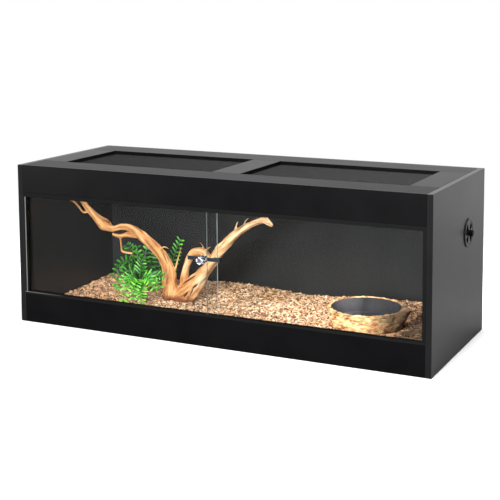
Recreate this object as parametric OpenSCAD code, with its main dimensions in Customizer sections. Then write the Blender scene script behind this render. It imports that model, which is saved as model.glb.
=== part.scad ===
// Wooden reptile terrarium: a flat-pack cabinet of laminated boards with a screened top,
// two sliding glass doors closed by a ratchet lock, a turning vent in each end,
// and its furnishings. Millimetres, +Z up, front at -Y, origin under the middle of the base.

/* [Cabinet] */
// Overall width across the two side panels
cabinet_w = 1200; // [1120:10:1500]
// Overall depth, front boards to back panel
cabinet_d = 460; // [420:5:600]
// Overall height
cabinet_h = 445; // [420:5:600]
// Thickness of the laminated boards
board_t = 16; // [15:0.5:19]
// Thickness of the back panel
back_t = 9; // [6:0.5:12]
// Small chamfer along every board edge
edge_break = 0.8; // [0.4:0.1:1.5]

/* [Front] */
// Height of the kick board under the doors
kick_h = 80; // [70:1:110]
// Height of the fascia above the doors
fascia_h = 78; // [70:1:110]

/* [Screened top] */
// Width of the border in front of and behind the screens
border_d = 102; // [90:1:115]
// Width of the border beside the screens, side panel included
border_w = 92.5; // [85:0.5:110]
// Width of the rail between the two screens
centre_rail_w = 85; // [75:1:110]
// Depth of the screens below the top face
screen_recess = 10; // [8:0.5:11]
// Thickness of the woven screen
screen_t = 1.2; // [0.8:0.1:2]
// Openings of a screen from left to right
screen_columns = 12; // [6:1:12]
// Openings of a screen from front to back
screen_rows = 7; // [3:1:12]
// Width of the bars between the openings
screen_bar = 4; // [3:0.5:8]
// Width of the rebate that holds screen and trim
rebate_w = 12; // [11:0.5:14]
// Play between the rebate and what lies in it
rebate_play = 0.3; // [0.2:0.1:0.5]

/* [Screws] */
// Shank of the screen and back panel screws
screw_d = 3; // [2.5:0.5:3.5]
// Head of those screws
screw_head_d = 6; // [5:0.5:7]
// Height of the countersunk head
screw_head_h = 1.7; // [1.2:0.1:2.2]
// Length of a screen screw
screen_screw_l = 12; // [10:1:13]
// Length of a back panel screw
back_screw_l = 30; // [25:1:40]
// Play round a screw, dowel or fitting in its hole
hole_play = 0.05; // [0.03:0.01:0.1]

/* [Cam fittings] */
// Diameter of a cam
cam_d = 15; // [12:1:15]
// Depth of a cam in its board
cam_depth = 12.5; // [10:0.5:13]
// Distance from the board's end to the middle of the cam
cam_setback = 34; // [28:1:40]
// Diameter of the cam bolt
cam_bolt_d = 6; // [5:0.5:7]
// Length of the cam bolt inside the side panel
cam_bolt_grip = 11; // [9:0.5:12]
// Diameter of a wooden dowel
dowel_d = 8; // [6:1:8]
// Length of a wooden dowel inside each board
dowel_half_l = 11; // [8:1:13]

/* [Door tracks] */
// Wall of the track profiles
track_wall = 1.5; // [1:0.1:2]
// Wall between the two channels
track_middle = 3; // [3:0.1:4]
// Height of the bottom track
bottom_track_h = 6.5; // [5:0.5:9]
// Height of the top track, deep enough to lift a door out
top_track_h = 11; // [10:0.5:16]
// Depth of the channels on the side panels
side_channel_h = 8; // [6:0.5:12]

/* [Glass doors] */
// Thickness of the glass
glass_t = 4; // [3:0.5:5]
// Play on each face of the glass in its channel
glass_play = 0.5; // [0.3:0.1:0.8]
// Gap under a door and above its lift
door_gap = 0.3; // [0.2:0.1:0.6]
// Distance between a closed door's edge and the side panel
door_edge_gap = 3; // [2.5:0.5:4]
// Free edge of the front door, from the middle of the cabinet
front_door_edge_x = -5; // [-20:1:0]
// Free edge of the rear door, from the middle of the cabinet
rear_door_edge_x = 22; // [10:1:40]
// Ground chamfer on the glass edges
glass_bevel = 0.5; // [0.3:0.1:0.8]

/* [Lock] */
// Height of the lock's axis
lock_z = 231; // [180:1:280]
// Height of the ratchet bar
bar_h = 10; // [9:0.5:12]
// Thickness of the ratchet bar
bar_t = 2; // [1.6:0.1:2.2]
// Reach of the bar from the rear door's edge to its free end
bar_reach = 86; // [80:1:110]
// Length of the hook behind the rear door
hook_reach = 12; // [8:1:18]
// Gap between the rear door's edge and the bend of the hook
hook_stand = 7; // [1:0.5:8]
// Gap between the bar and the back of the front door
bar_gap = 0.6; // [0.4:0.1:0.8]
// Distance between two notches of the bar
notch_pitch = 3; // [2.5:0.5:4]
// Depth of a notch
notch_depth = 0.8; // [0.5:0.1:1]
// Diameter of the lock barrel
barrel_d = 21; // [20:0.5:26]
// Length of the lock barrel
barrel_l = 28; // [20:0.5:30]
// Diameter of the turning plug
plug_d = 12; // [10:0.5:14]
// Length of the turning plug
plug_l = 12; // [9:0.5:13]
// Diameter of the pawl
pawl_d = 6; // [4:0.5:7]
// Play round the bar, and between the barrel and the glass
lock_play = 0.3; // [0.2:0.05:0.4]
// Running clearance of the plug and the pawl
running_fit = 0.05; // [0.02:0.01:0.1]

/* [Vents] */
// Distance of the vents behind the middle of the cabinet
vent_y = 76; // [0:1:120]
// Height of the vents
vent_z = 297; // [200:1:330]
// Diameter of the vent's flange
flange_d = 76; // [74:1:90]
// Thickness of the flange
flange_t = 3; // [2.8:0.1:5]
// Outer diameter of the sleeve through the panel
sleeve_d = 68; // [60:1:70]
// Wall of the sleeve
sleeve_wall = 2; // [1.5:0.1:3]
// Slots in the grille and in the shutter
vent_slots = 4; // [3:1:6]
// Thickness of the shutter
shutter_t = 2; // [1.5:0.1:3]
// Diameter of the vent's knob
knob_d = 16; // [14:1:20]
// Reach of the knob from the side panel
knob_reach = 13; // [12:0.5:20]
// Diameter of the knob's shaft
shaft_d = 6; // [4:0.5:8]

/* [Furnishings] */
// Depth of the wood-chip bed on the base
bed_depth = 30; // [20:1:36]
// Height of the waves in the bed
bed_wave = 4; // [1:0.5:6]
// Distance from the left side panel to the foot of the driftwood
wood_from_left = 349; // [340:1:380]
// Length of the water bowl's rim, its step included
bowl_d = 225; // [190:1:235]
// Height of the water bowl
bowl_h = 53; // [44:1:60]
// Thickness of the bowl's rim
bowl_wall = 10; // [8:0.5:14]
// Reach of the step at the right side of the rim, where the animal climbs out
bowl_step = 18; // [6:1:24]
// Radius of that step
bowl_step_r = 45; // [30:1:60]
// Thickness of the bowl's floor
bowl_floor = 10; // [8:0.5:14]
// Distance from the right side panel to the middle of the bowl
bowl_from_right = 220; // [210:1:250]
// Distance of the bowl in front of the middle of the cabinet
bowl_forward = 13; // [0:1:40]
// Gap between a furnishing and what carries it
seat_gap = 0.3; // [0.2:0.05:0.5]

/* [Hidden] */
$fn = 48;
eps = 0.01;

laminate = "#232325";
black_plastic = "#161617";
zinc = "#b9bcc0";
chrome = "#d5d8dc";

// Inner faces of the boards
inner_x = cabinet_w / 2 - board_t;
front_y = -cabinet_d / 2;
inner_front_y = front_y + board_t;
inner_back_y = cabinet_d / 2 - back_t;
rail_z = cabinet_h - board_t;
fascia_z = cabinet_h - fascia_h;

// Screen openings in the top
opening_x0 = centre_rail_w / 2;
opening_x1 = cabinet_w / 2 - border_w;
opening_y = cabinet_d / 2 - border_d;
screen_z = cabinet_h - screen_recess - screen_t;
trim_t = screen_z - rail_z;
screen_screw_gap = 25;

// Door channels, front to back
channel_w = glass_t + 2 * glass_play;
track_d = 2 * track_wall + 2 * channel_w + track_middle;
front_glass_y = front_y + track_wall + glass_play;
rear_glass_y = front_glass_y + channel_w + track_middle;
bottom_floor_z = kick_h + track_wall;
door_z = bottom_floor_z + door_gap;
door_top_z = fascia_z - track_wall - door_gap - (bottom_track_h - track_wall) - door_gap;
door_outer_x = inner_x - door_edge_gap;

// Lock
bar_y = front_glass_y + glass_t + bar_gap;
hook_x = rear_door_edge_x + hook_stand;
bar_end_x = rear_door_edge_x - bar_reach;
barrel_x = front_door_edge_x - lock_play - barrel_d / 2;
barrel_back_y = rear_glass_y - lock_play;
barrel_front_y = barrel_back_y - barrel_l;
slot_play = lock_play / 2;
plug_back_y = barrel_front_y + plug_l + lock_play;
notch_w = 1.6;
pawl_tip_w = 1.2;
pawl_tip_h = 4;
pawl_tip_l = 1.2;
key_slot = [1.4, 7, 7];

// Vents: the slots take a little less than half of the circle, so the shutter can close them
slot_angle = 180 / vent_slots - 5;
slot_inner_r = 11;
slot_outer_r = sleeve_d / 2 - sleeve_wall - 3;
grille_t = 2.4;
vent_play = 0.3;

// Furnishings
bed_z = board_t + bed_depth;
bed_cell = 30;
wood_x = -inner_x + wood_from_left;
bowl_x = inner_x - bowl_from_right;
bowl_y = -bowl_forward;
bowl_base_taper = 7;
bowl_pad_r = bowl_d / 2 + 8;
fern_crown = [-110, -8, 40];
rear_fern_crown = [-60, 60, 32];

// ---- boards -------------------------------------------------------------------------

module eased(w, h) {
    c = edge_break;
    polygon([[c, 0], [w - c, 0], [w, c], [w, h - c], [w - c, h], [c, h], [0, h - c], [0, c]]);
}

// A board from corner "low" to corner "high", with all its edges eased
module board(low, high) {
    size = high - low;
    translate(low) intersection() {
        linear_extrude(size.z) eased(size.x, size.y);
        translate([0, size.y, 0]) rotate([90, 0, 0]) linear_extrude(size.y) eased(size.x, size.z);
        rotate([90, 0, 90]) linear_extrude(size.x) eased(size.y, size.z);
    }
}

// Cam joints: board, y and z of the face that the cam is set in, and that face's direction
rail_cam_y = 60;
base_cam_y = 120;
front_rail_mid_y = (inner_front_y - opening_y) / 2;
rear_rail_mid_y = (opening_y + inner_back_y) / 2;
cam_joints = [
    ["kick_board", inner_front_y, kick_h / 2, "rear"],
    ["front_fascia", inner_front_y, fascia_z + fascia_h / 2 - 6, "rear"],
    ["base_panel", -base_cam_y, 0, "under"],
    ["base_panel", base_cam_y, 0, "under"],
    ["front_rail", front_rail_mid_y, rail_z, "under"],
    ["rear_rail", rear_rail_mid_y, rail_z, "under"],
    ["end_rail", -rail_cam_y, rail_z, "under"],
    ["end_rail", rail_cam_y, rail_z, "under"]];

// Dowels between a board's end and the side panel: board, y, z
front_board_y = front_y + board_t / 2;
rail_mid_z = rail_z + board_t / 2;
end_dowels = [
    ["kick_board", front_board_y, kick_h / 2 - 24],
    ["kick_board", front_board_y, kick_h / 2 + 24],
    ["front_fascia", front_board_y, fascia_z + fascia_h / 2 - 26],
    ["front_fascia", front_board_y, fascia_z + fascia_h / 2 + 18],
    ["base_panel", -base_cam_y - 50, board_t / 2],
    ["base_panel", 0, board_t / 2],
    ["base_panel", base_cam_y + 50, board_t / 2],
    ["front_rail", front_rail_mid_y - 20, rail_mid_z],
    ["front_rail", front_rail_mid_y + 20, rail_mid_z],
    ["rear_rail", rear_rail_mid_y - 20, rail_mid_z],
    ["rear_rail", rear_rail_mid_y + 20, rail_mid_z],
    ["end_rail", 0, rail_mid_z]];

// Dowels between the cross rails and the long rails
end_rail_mid_x = (opening_x1 + rebate_w + inner_x) / 2;
rail_dowel_x = [
    -end_rail_mid_x - 14, -end_rail_mid_x + 14, -20, 20,
    end_rail_mid_x - 14, end_rail_mid_x + 14];

function cam_axis(j) = j[3] == "rear" ? [j[1] - board_t / 2, j[2]] : [j[1], j[2] + board_t / 2];

// Moves a cam from the origin, where it lies along +Z with its face at 0, into its board
module at_cam(j, side) {
    translate([side * (inner_x - cam_setback), j[1], j[2]])
        rotate(j[3] == "rear" ? [90, 0, 0] : [0, 0, 0]) children();
}

// Pockets for the cams, bolts and dowels of one board
module fitting_holes(name) {
    for (side = [-1, 1]) {
        for (j = cam_joints) if (j[0] == name) {
            at_cam(j, side) translate([0, 0, -eps])
                cylinder(d = cam_d + 2 * hole_play, h = cam_depth + hole_play + eps);
            bolt_hole(j, side, inner_x - cam_setback, inner_x + eps);
        }
        for (p = end_dowels) if (p[0] == name)
            x_rod(side, inner_x - dowel_half_l - hole_play, inner_x + eps, p[1], p[2],
                dowel_d / 2 + hole_play);
    }
}

module bolt_hole(j, side, x0, x1) {
    x_rod(side, x0, x1, cam_axis(j)[0], cam_axis(j)[1], cam_bolt_d / 2 + hole_play);
}

// A rod along X between two distances from the middle, on the given side
module x_rod(side, x0, x1, y, z, r) {
    translate([side * x0, y, z]) rotate([0, side * 90, 0]) cylinder(r = r, h = x1 - x0);
}

module side_panel(side) {
    difference() {
        board([min(side * inner_x, side * cabinet_w / 2), front_y, 0],
            [max(side * inner_x, side * cabinet_w / 2), cabinet_d / 2, cabinet_h]);
        for (j = cam_joints)
            bolt_hole(j, side, inner_x - eps, inner_x + cam_bolt_grip + hole_play);
        for (p = end_dowels)
            x_rod(side, inner_x - eps, inner_x + dowel_half_l + hole_play, p[1], p[2],
                dowel_d / 2 + hole_play);
        x_rod(side, inner_x - 1, cabinet_w / 2 + 1, vent_y, vent_z,
            sleeve_d / 2 + vent_play);
    }
}

module left_side_panel() { color(laminate) side_panel(-1); }

module right_side_panel() { color(laminate) side_panel(1); }

module base_panel() {
    color(laminate) difference() {
        board([-inner_x, inner_front_y, 0], [inner_x, inner_back_y, board_t]);
        fitting_holes("base_panel");
        back_screw_holes();
    }
}

module back_panel() {
    color(laminate) difference() {
        board([-inner_x, inner_back_y, 0], [inner_x, cabinet_d / 2, cabinet_h]);
        back_screw_holes();
    }
}

module kick_board() {
    color(laminate) difference() {
        board([-inner_x, front_y, 0], [inner_x, inner_front_y, kick_h]);
        fitting_holes("kick_board");
    }
}

module front_fascia() {
    color(laminate) difference() {
        board([-inner_x, front_y, fascia_z], [inner_x, inner_front_y, cabinet_h]);
        fitting_holes("front_fascia");
    }
}

// ---- screened top -------------------------------------------------------------------

// The rebate under one opening, cut into every rail round it
module rebates() {
    for (side = [-1, 1]) translate([0, 0, rail_z - eps]) linear_extrude(board_t - screen_recess + eps)
        screen_outline(side, rebate_w);
}

// Outline of an opening, grown by "margin" on all sides
module screen_outline(side, margin) {
    w = opening_x1 - opening_x0 + 2 * margin;
    translate([side * (opening_x0 + opening_x1) / 2, 0]) square([w, 2 * (opening_y + margin)], center = true);
}

// Places of the screen screws along the middle of the trim: [x from the middle, y]
trim_mid = (rebate_w - rebate_play) / 2;
function spread(from, to, count) = [for (i = [0 : count - 1]) from + (to - from) * i / (count - 1)];
screen_screw_spots = [
    for (y = [-1, 1]) for (x = spread(opening_x0 + screen_screw_gap, opening_x1 - screen_screw_gap, 4))
        [x, y * (opening_y + trim_mid)],
    for (x = [opening_x0 - trim_mid, opening_x1 + trim_mid])
        for (y = spread(screen_screw_gap * 2 - opening_y, opening_y - screen_screw_gap * 2, 2)) [x, y]];

module countersunk_screw(l, grow = 0) {
    cylinder(d = screw_d + 2 * grow, h = l + grow);
    cylinder(d1 = screw_head_d + 2 * grow, d2 = screw_d + 2 * grow, h = screw_head_h);
}

module screen_screw_holes() {
    for (side = [-1, 1]) for (p = screen_screw_spots)
        translate([side * p.x, p.y, rail_z - eps]) countersunk_screw(screen_screw_l, hole_play);
}

module rail(low_xy, high_xy, name) {
    color(laminate) difference() {
        board([low_xy.x, low_xy.y, rail_z], [high_xy.x, high_xy.y, cabinet_h]);
        rebates();
        screen_screw_holes();
        fitting_holes(name);
        rail_dowels(hole_play);
        if (name == "rear_rail") back_screw_holes();
    }
}

module rail_dowels(grow = 0) {
    for (x = rail_dowel_x) for (y = [-opening_y, opening_y])
        translate([x, y - dowel_half_l - grow, rail_mid_z]) rotate([-90, 0, 0])
            cylinder(d = dowel_d + 2 * grow, h = 2 * (dowel_half_l + grow));
}

module top_front_rail() { rail([-inner_x, inner_front_y], [inner_x, -opening_y], "front_rail"); }

module top_rear_rail() { rail([-inner_x, opening_y], [inner_x, inner_back_y], "rear_rail"); }

module top_left_rail() { rail([-inner_x, -opening_y], [-opening_x1, opening_y], "end_rail"); }

module top_right_rail() { rail([opening_x1, -opening_y], [inner_x, opening_y], "end_rail"); }

module top_centre_rail() { rail([-opening_x0, -opening_y], [opening_x0, opening_y], "centre_rail"); }

// Openings of one screen, between plain bars
module screen_openings(side) {
    step = [(opening_x1 - opening_x0) / screen_columns, 2 * opening_y / screen_rows];
    for (i = [0 : screen_columns - 1]) for (j = [0 : screen_rows - 1])
        translate([side * (opening_x0 + (i + 0.5) * step.x), (j + 0.5) * step.y - opening_y])
            square([step.x - screen_bar, step.y - screen_bar], center = true);
}

module screen(side) {
    color("#3c3c3e") difference() {
        translate([0, 0, screen_z]) linear_extrude(screen_t) difference() {
            screen_outline(side, rebate_w - rebate_play);
            screen_openings(side);
        }
        screen_screw_holes();
    }
}

module left_screen() { screen(-1); }

module right_screen() { screen(1); }

// Four strips that hold one screen up in its rebate
module screen_trim(side) {
    reach = rebate_w - rebate_play;
    long_l = opening_x1 - opening_x0 + 2 * reach;
    mid_x = side * (opening_x0 + opening_x1) / 2;
    color(black_plastic) difference() {
        union() {
            for (y = [-1, 1]) translate([mid_x, y * (opening_y + reach / 2), rail_z + trim_t / 2])
                cube([long_l, reach, trim_t], center = true);
            for (x = [opening_x0 - reach / 2, opening_x1 + reach / 2])
                translate([side * x, 0, rail_z + trim_t / 2])
                    cube([reach, 2 * (opening_y - rebate_play), trim_t], center = true);
        }
        screen_screw_holes();
    }
}

module left_screen_trim() { screen_trim(-1); }

module right_screen_trim() { screen_trim(1); }

module screen_screws() {
    color(zinc) for (side = [-1, 1]) for (p = screen_screw_spots)
        translate([side * p.x, p.y, rail_z]) difference() {
            countersunk_screw(screen_screw_l);
            cross_slot(0.9);
        }
}

// The driver's cross in a screw head at the origin
module cross_slot(depth) {
    for (turn = [0, 90]) rotate(turn)
        translate([0, 0, depth / 2 - eps]) cube([screw_head_d * 0.55, 0.7, depth], center = true);
}

// ---- fasteners ----------------------------------------------------------------------

back_screw_x = spread(-inner_x + 60, inner_x - 60, 6);

module at_back_screws() {
    for (x = back_screw_x) for (z = [board_t / 2, rail_mid_z])
        translate([x, cabinet_d / 2, z]) rotate([90, 0, 0]) children();
}

module back_screw_holes() {
    at_back_screws() translate([0, 0, -eps]) countersunk_screw(back_screw_l, hole_play);
}

module back_screws() {
    color(zinc) at_back_screws() difference() {
        countersunk_screw(back_screw_l);
        cross_slot(0.9);
    }
}

module cam_fittings() {
    color(zinc) for (side = [-1, 1]) for (j = cam_joints) at_cam(j, side) difference() {
        cylinder(d = cam_d, h = cam_depth);
        for (turn = [0, 90]) rotate(turn)
            translate([0, 0, 1 - eps]) cube([cam_d * 0.5, 1.4, 2], center = true);
    }
}

module cam_bolts() {
    start = inner_x - cam_setback + cam_d / 2 + hole_play;
    color(zinc) for (side = [-1, 1]) for (j = cam_joints)
        x_rod(side, start, inner_x + cam_bolt_grip, cam_axis(j)[0], cam_axis(j)[1], cam_bolt_d / 2);
}

module dowels() {
    color("#c9a878") {
        for (side = [-1, 1]) for (p = end_dowels)
            x_rod(side, inner_x - dowel_half_l, inner_x + dowel_half_l, p[1], p[2], dowel_d / 2);
        rail_dowels();
    }
}

// ---- door tracks --------------------------------------------------------------------

// E-shaped profile, open upwards: x is front to back from the front face, y the height
module track_profile(h) {
    difference() {
        square([track_d, h]);
        for (x = [track_wall, track_wall + channel_w + track_middle])
            translate([x, track_wall]) square([channel_w, h]);
    }
}

module bottom_track() {
    color(black_plastic) translate([-inner_x, front_y, kick_h])
        rotate([90, 0, 90]) linear_extrude(2 * inner_x) track_profile(bottom_track_h);
}

module top_track() {
    color(black_plastic) translate([-inner_x, front_y, fascia_z])
        mirror([0, 0, 1]) rotate([90, 0, 90]) linear_extrude(2 * inner_x) track_profile(top_track_h);
}

module side_channel(side) {
    low = kick_h + bottom_track_h;
    high = fascia_z - top_track_h;
    color(black_plastic) translate([side * inner_x, front_y, low])
        mirror([side > 0 ? 1 : 0, 0, 0]) mirror([1, -1, 0])
            linear_extrude(high - low) track_profile(side_channel_h);
}

module left_channel() { side_channel(-1); }

module right_channel() { side_channel(1); }

// ---- glass doors --------------------------------------------------------------------

module pane(x0, x1, y) {
    b = glass_bevel;
    w = x1 - x0;
    h = door_top_z - door_z;
    color([0.75, 0.85, 0.82, 0.4]) translate([x0, y, door_z]) intersection() {
        linear_extrude(h) polygon([[b, 0], [w - b, 0], [w, b], [w, glass_t - b],
            [w - b, glass_t], [b, glass_t], [0, glass_t - b], [0, b]]);
        rotate([90, 0, 90]) linear_extrude(w) polygon([[b, 0], [glass_t - b, 0], [glass_t, b],
            [glass_t, h - b], [glass_t - b, h], [b, h], [0, h - b], [0, b]]);
    }
}

module left_glass_door() { pane(-door_outer_x, rear_door_edge_x, rear_glass_y); }

module right_glass_door() { pane(front_door_edge_x, door_outer_x, front_glass_y); }

// ---- lock ---------------------------------------------------------------------------

// Notches run along the bar from the pawl's rest place towards the free end
notch_count = floor((barrel_x - bar_end_x - notch_w) / notch_pitch);

module lock_bar() {
    hook_back_y = rear_glass_y + glass_t + lock_play;
    color("#4a4d52") difference() {
        union() {
            translate([bar_end_x, bar_y, lock_z - bar_h / 2])
                cube([hook_x + bar_t - bar_end_x, bar_t, bar_h]);
            translate([hook_x, bar_y, lock_z - bar_h / 2])
                cube([bar_t, hook_back_y + bar_t - bar_y, bar_h]);
            translate([rear_door_edge_x - hook_reach, hook_back_y, lock_z - bar_h / 2])
                cube([hook_reach + hook_stand + bar_t, bar_t, bar_h]);
        }
        for (i = [0 : notch_count])
            translate([barrel_x - i * notch_pitch - notch_w / 2, bar_y - eps, lock_z - bar_h / 2 - 1])
                cube([notch_w, notch_depth + eps, bar_h + 2]);
    }
}

module along_lock(y0, y1, d) {
    translate([barrel_x, y1, lock_z]) rotate([90, 0, 0]) cylinder(d = d, h = y1 - y0);
}

module lock_barrel() {
    lip = 1.2;
    color(chrome) difference() {
        union() {
            along_lock(barrel_front_y + lip, barrel_back_y, barrel_d);
            translate([barrel_x, barrel_front_y + lip, lock_z]) rotate([90, 0, 0])
                cylinder(d1 = barrel_d, d2 = barrel_d - 2 * lip, h = lip);
        }
        along_lock(barrel_front_y - eps, plug_back_y, plug_d + 2 * running_fit);
        along_lock(plug_back_y - eps, bar_y, pawl_d + 2 * running_fit);
        translate([barrel_x - barrel_d, bar_y - slot_play, lock_z - bar_h / 2 - slot_play])
            cube([2 * barrel_d, bar_t + 2 * slot_play, bar_h + 2 * slot_play]);
    }
}

module lock_plug() {
    color(chrome) difference() {
        along_lock(barrel_front_y, plug_back_y - lock_play, plug_d);
        translate([barrel_x, barrel_front_y + key_slot.z / 2 - eps, lock_z])
            cube([key_slot.x, key_slot.z, key_slot.y], center = true);
    }
}

module lock_pawl() {
    tip_y = bar_y - lock_play;
    color(zinc) union() {
        along_lock(plug_back_y, tip_y - pawl_tip_l, pawl_d);
        translate([barrel_x, tip_y - pawl_tip_l / 2 - eps, lock_z])
            cube([pawl_tip_w, pawl_tip_l + eps, pawl_tip_h], center = true);
    }
}

// ---- vents --------------------------------------------------------------------------

// Turns a vent drawn along +Z, with its flange on z = 0, onto the outside of a side panel
module at_vent(side) {
    translate([side * cabinet_w / 2, vent_y, vent_z]) rotate([0, side * 90, 0]) children();
}

// Slots in a disc: ring sectors, evenly round the axis
module vent_slot_cuts(z0, z1) {
    half = slot_angle / 2;
    far = 2 * slot_outer_r;
    for (i = [0 : vent_slots - 1]) rotate(i * 360 / vent_slots + 180 / vent_slots)
        translate([0, 0, z0]) intersection() {
            difference() {
                cylinder(r = slot_outer_r, h = z1 - z0);
                translate([0, 0, -1]) cylinder(r = slot_inner_r, h = z1 - z0 + 2);
            }
            translate([0, 0, -1]) linear_extrude(z1 - z0 + 2)
                polygon([[0, 0], far * [cos(half), sin(half)], far * [cos(half), -sin(half)]]);
        }
}

module vent_body(side) {
    rim_w = 4;
    sleeve_l = board_t;
    color(black_plastic) at_vent(side) difference() {
        union() {
            rotate_extrude() polygon([[0, 0], [flange_d / 2, 0], [flange_d / 2, flange_t - 1],
                [flange_d / 2 - 1, flange_t], [flange_d / 2 - rim_w, flange_t],
                [flange_d / 2 - rim_w - 1, grille_t], [0, grille_t]]);
            translate([0, 0, -sleeve_l]) cylinder(d = sleeve_d, h = sleeve_l + eps);
            cylinder(d = knob_d, h = flange_t);
        }
        translate([0, 0, -sleeve_l - 1]) cylinder(d = sleeve_d - 2 * sleeve_wall, h = sleeve_l + 1);
        translate([0, 0, -1]) cylinder(d = shaft_d + 2 * running_fit, h = flange_t + 2);
        vent_slot_cuts(-1, flange_t + 1);
    }
}

module vent_shutter(side) {
    color(black_plastic) at_vent(side) difference() {
        union() {
            translate([0, 0, -shutter_t - vent_play])
                cylinder(d = sleeve_d - 2 * sleeve_wall - 2 * vent_play, h = shutter_t);
            translate([0, 0, -shutter_t]) cylinder(d = shaft_d, h = knob_reach - 2);
        }
        vent_slot_cuts(-shutter_t - 1, 0);
    }
}

module vent_knob(side) {
    flutes = 12;
    color(black_plastic) at_vent(side) difference() {
        translate([0, 0, flange_t + vent_play]) union() {
            cylinder(d = knob_d, h = knob_reach - flange_t - vent_play - 1);
            translate([0, 0, knob_reach - flange_t - vent_play - 1])
                cylinder(d1 = knob_d, d2 = knob_d - 2, h = 1);
        }
        translate([0, 0, flange_t]) cylinder(d = shaft_d + 2 * hole_play,
            h = knob_reach - shutter_t - 2 - flange_t + hole_play);
        for (i = [0 : flutes - 1]) rotate(i * 360 / flutes)
            translate([knob_d / 2 + 0.6, 0, flange_t]) cylinder(d = 2.4, h = knob_reach);
    }
}

// Trim ring on the panel's inner face, pushed over the end of the sleeve
module vent_ring(side) {
    ring_t = 2;
    color(black_plastic) at_vent(side) translate([0, 0, -board_t - ring_t]) difference() {
        cylinder(d = flange_d - 2, h = ring_t);
        translate([0, 0, -1]) cylinder(d = sleeve_d - 2 * sleeve_wall, h = ring_t + 2);
    }
}

module left_vent_body() { vent_body(-1); }

module left_vent_shutter() { vent_shutter(-1); }

module left_vent_knob() { vent_knob(-1); }

module left_vent_ring() { vent_ring(-1); }

module right_vent_body() { vent_body(1); }

module right_vent_shutter() { vent_shutter(1); }

module right_vent_knob() { vent_knob(1); }

module right_vent_ring() { vent_ring(1); }

// ---- furnishings --------------------------------------------------------------------

function smooth(t) = let (c = max(0, min(1, t))) c * c * (3 - 2 * c);

function bed_level(x, y) = let (
    waves = sin(x * 0.8 + 30) * cos(y * 1.1) + 0.5 * sin(x * 1.7 - y * 1.3),
    right_heap = 12 * exp(-pow((x - inner_x + 150) / 170, 2) - pow((y - inner_back_y) / 90, 2)),
    middle_heap = 7 * exp(-pow((x + 110) / 90, 2) - pow((y - inner_back_y) / 70, 2)),
    left_dip = 9 * exp(-pow((x + inner_x) / 110, 2)),
    from_bowl = norm([x - bowl_x, y - bowl_y]) - bowl_pad_r)
    bed_z + (bed_wave * waves + right_heap + middle_heap - left_dip) * smooth(from_bowl / 60);

// The bed as one closed solid: a triangulated surface over a flat bottom
module bed_solid(play = 0) {
    columns = ceil(2 * inner_x / bed_cell);
    rows = ceil((inner_back_y - inner_front_y) / bed_cell);
    xs = spread(-inner_x + play, inner_x - play, columns + 1);
    ys = spread(inner_front_y + play, inner_back_y - play, rows + 1);
    top = [for (y = ys) for (x = xs) [x, y, bed_level(x, y)]];
    base = [for (p = top) [p.x, p.y, board_t]];
    n = columns + 1;
    count = n * (rows + 1);
    front = [for (i = [0 : columns]) i];
    back = [for (i = [0 : columns]) rows * n + i];
    left = [for (j = [0 : rows]) j * n];
    right = [for (j = [0 : rows]) j * n + columns];
    polyhedron(points = concat(top, base), faces = concat(
        [for (j = [0 : rows - 1]) for (i = [0 : columns - 1]) let (a = j * n + i) [a, a + n, a + n + 1]],
        [for (j = [0 : rows - 1]) for (i = [0 : columns - 1]) let (a = j * n + i) [a, a + n + 1, a + 1]],
        [for (j = [0 : rows - 1]) for (i = [0 : columns - 1]) let (a = count + j * n + i) [a, a + n + 1, a + n]],
        [for (j = [0 : rows - 1]) for (i = [0 : columns - 1]) let (a = count + j * n + i) [a, a + 1, a + n + 1]],
        [for (i = [0 : columns - 1]) [front[i], front[i + 1], front[i + 1] + count, front[i] + count]],
        [for (i = [0 : columns - 1]) [back[i + 1], back[i], back[i] + count, back[i + 1] + count]],
        [for (j = [0 : rows - 1]) [left[j + 1], left[j], left[j] + count, left[j + 1] + count]],
        [for (j = [0 : rows - 1]) [right[j], right[j + 1], right[j + 1] + count, right[j] + count]]));
}

module substrate() { color("#b58f63") bed_solid(seat_gap); }

// Driftwood: branches as [x, y, height, radius] from the foot of the wood on the bed
left_branch = [
    [-9, 4, 4, 29], [-13, 3, 26, 26], [-17, 4, 50, 23], [-18, 7, 76, 20.5], [-34, 10, 106, 17],
    [-57, 10, 133, 16], [-80, 4, 157, 15.5], [-109, -4, 181, 14.5], [-137, -12, 199, 11],
    [-160, -20, 202, 10], [-180, -27, 196, 8.5], [-195, -31, 198, 12], [-208, -34, 206, 18],
    [-224, -39, 219, 14], [-236, -44, 232, 10.5], [-248, -48, 247, 9.5], [-260, -54, 262, 8.5],
    [-269, -60, 280, 7.5], [-277, -64, 295, 6]];
right_trunk = [
    [20, 4, 8, 24], [40, 2, 26, 25], [61, 5, 50, 23], [84, 8, 75, 19.5], [105, 10, 101, 16],
    [129, 8, 131, 16], [149, 5, 158, 15.5], [171, 0, 180, 14], [196, -5, 203, 12.5],
    [226, -10, 225, 10.5], [256, -14, 242, 9], [281, -17, 254, 9], [297, -18, 257, 10],
    [312, -19, 249, 7.5], [322, -20, 244, 5]];
arch = [
    [24, 12, 34, 13], [26, 18, 74, 11], [34, 23, 107, 10.5], [46, 24, 131, 12.5],
    [67, 22, 141, 13], [88, 18, 139, 12], [112, 12, 124, 11]];
root = [[-8, 8, 6, 26], [10, 6, 6, 23], [30, -2, 6, 21], [48, -8, 5, 17], [54, -10, 3, 13]];
leg = [[88, 14, 66, 14], [76, 8, 40, 12], [62, 0, 14, 11], [55, -6, 0, 10]];
prong = [
    [-112, -6, 180, 11], [-137, -14, 180, 9], [-163, -23, 175, 6.5], [-178, -26, 177, 6],
    [-188, -28, 180, 4]];
hanging_twig = [
    [-164, -22, 173, 3.6], [-161, -22, 145, 3.4], [-159, -23, 132, 4], [-147, -23, 128, 4.5],
    [-122, -24, 127, 4]];
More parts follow.
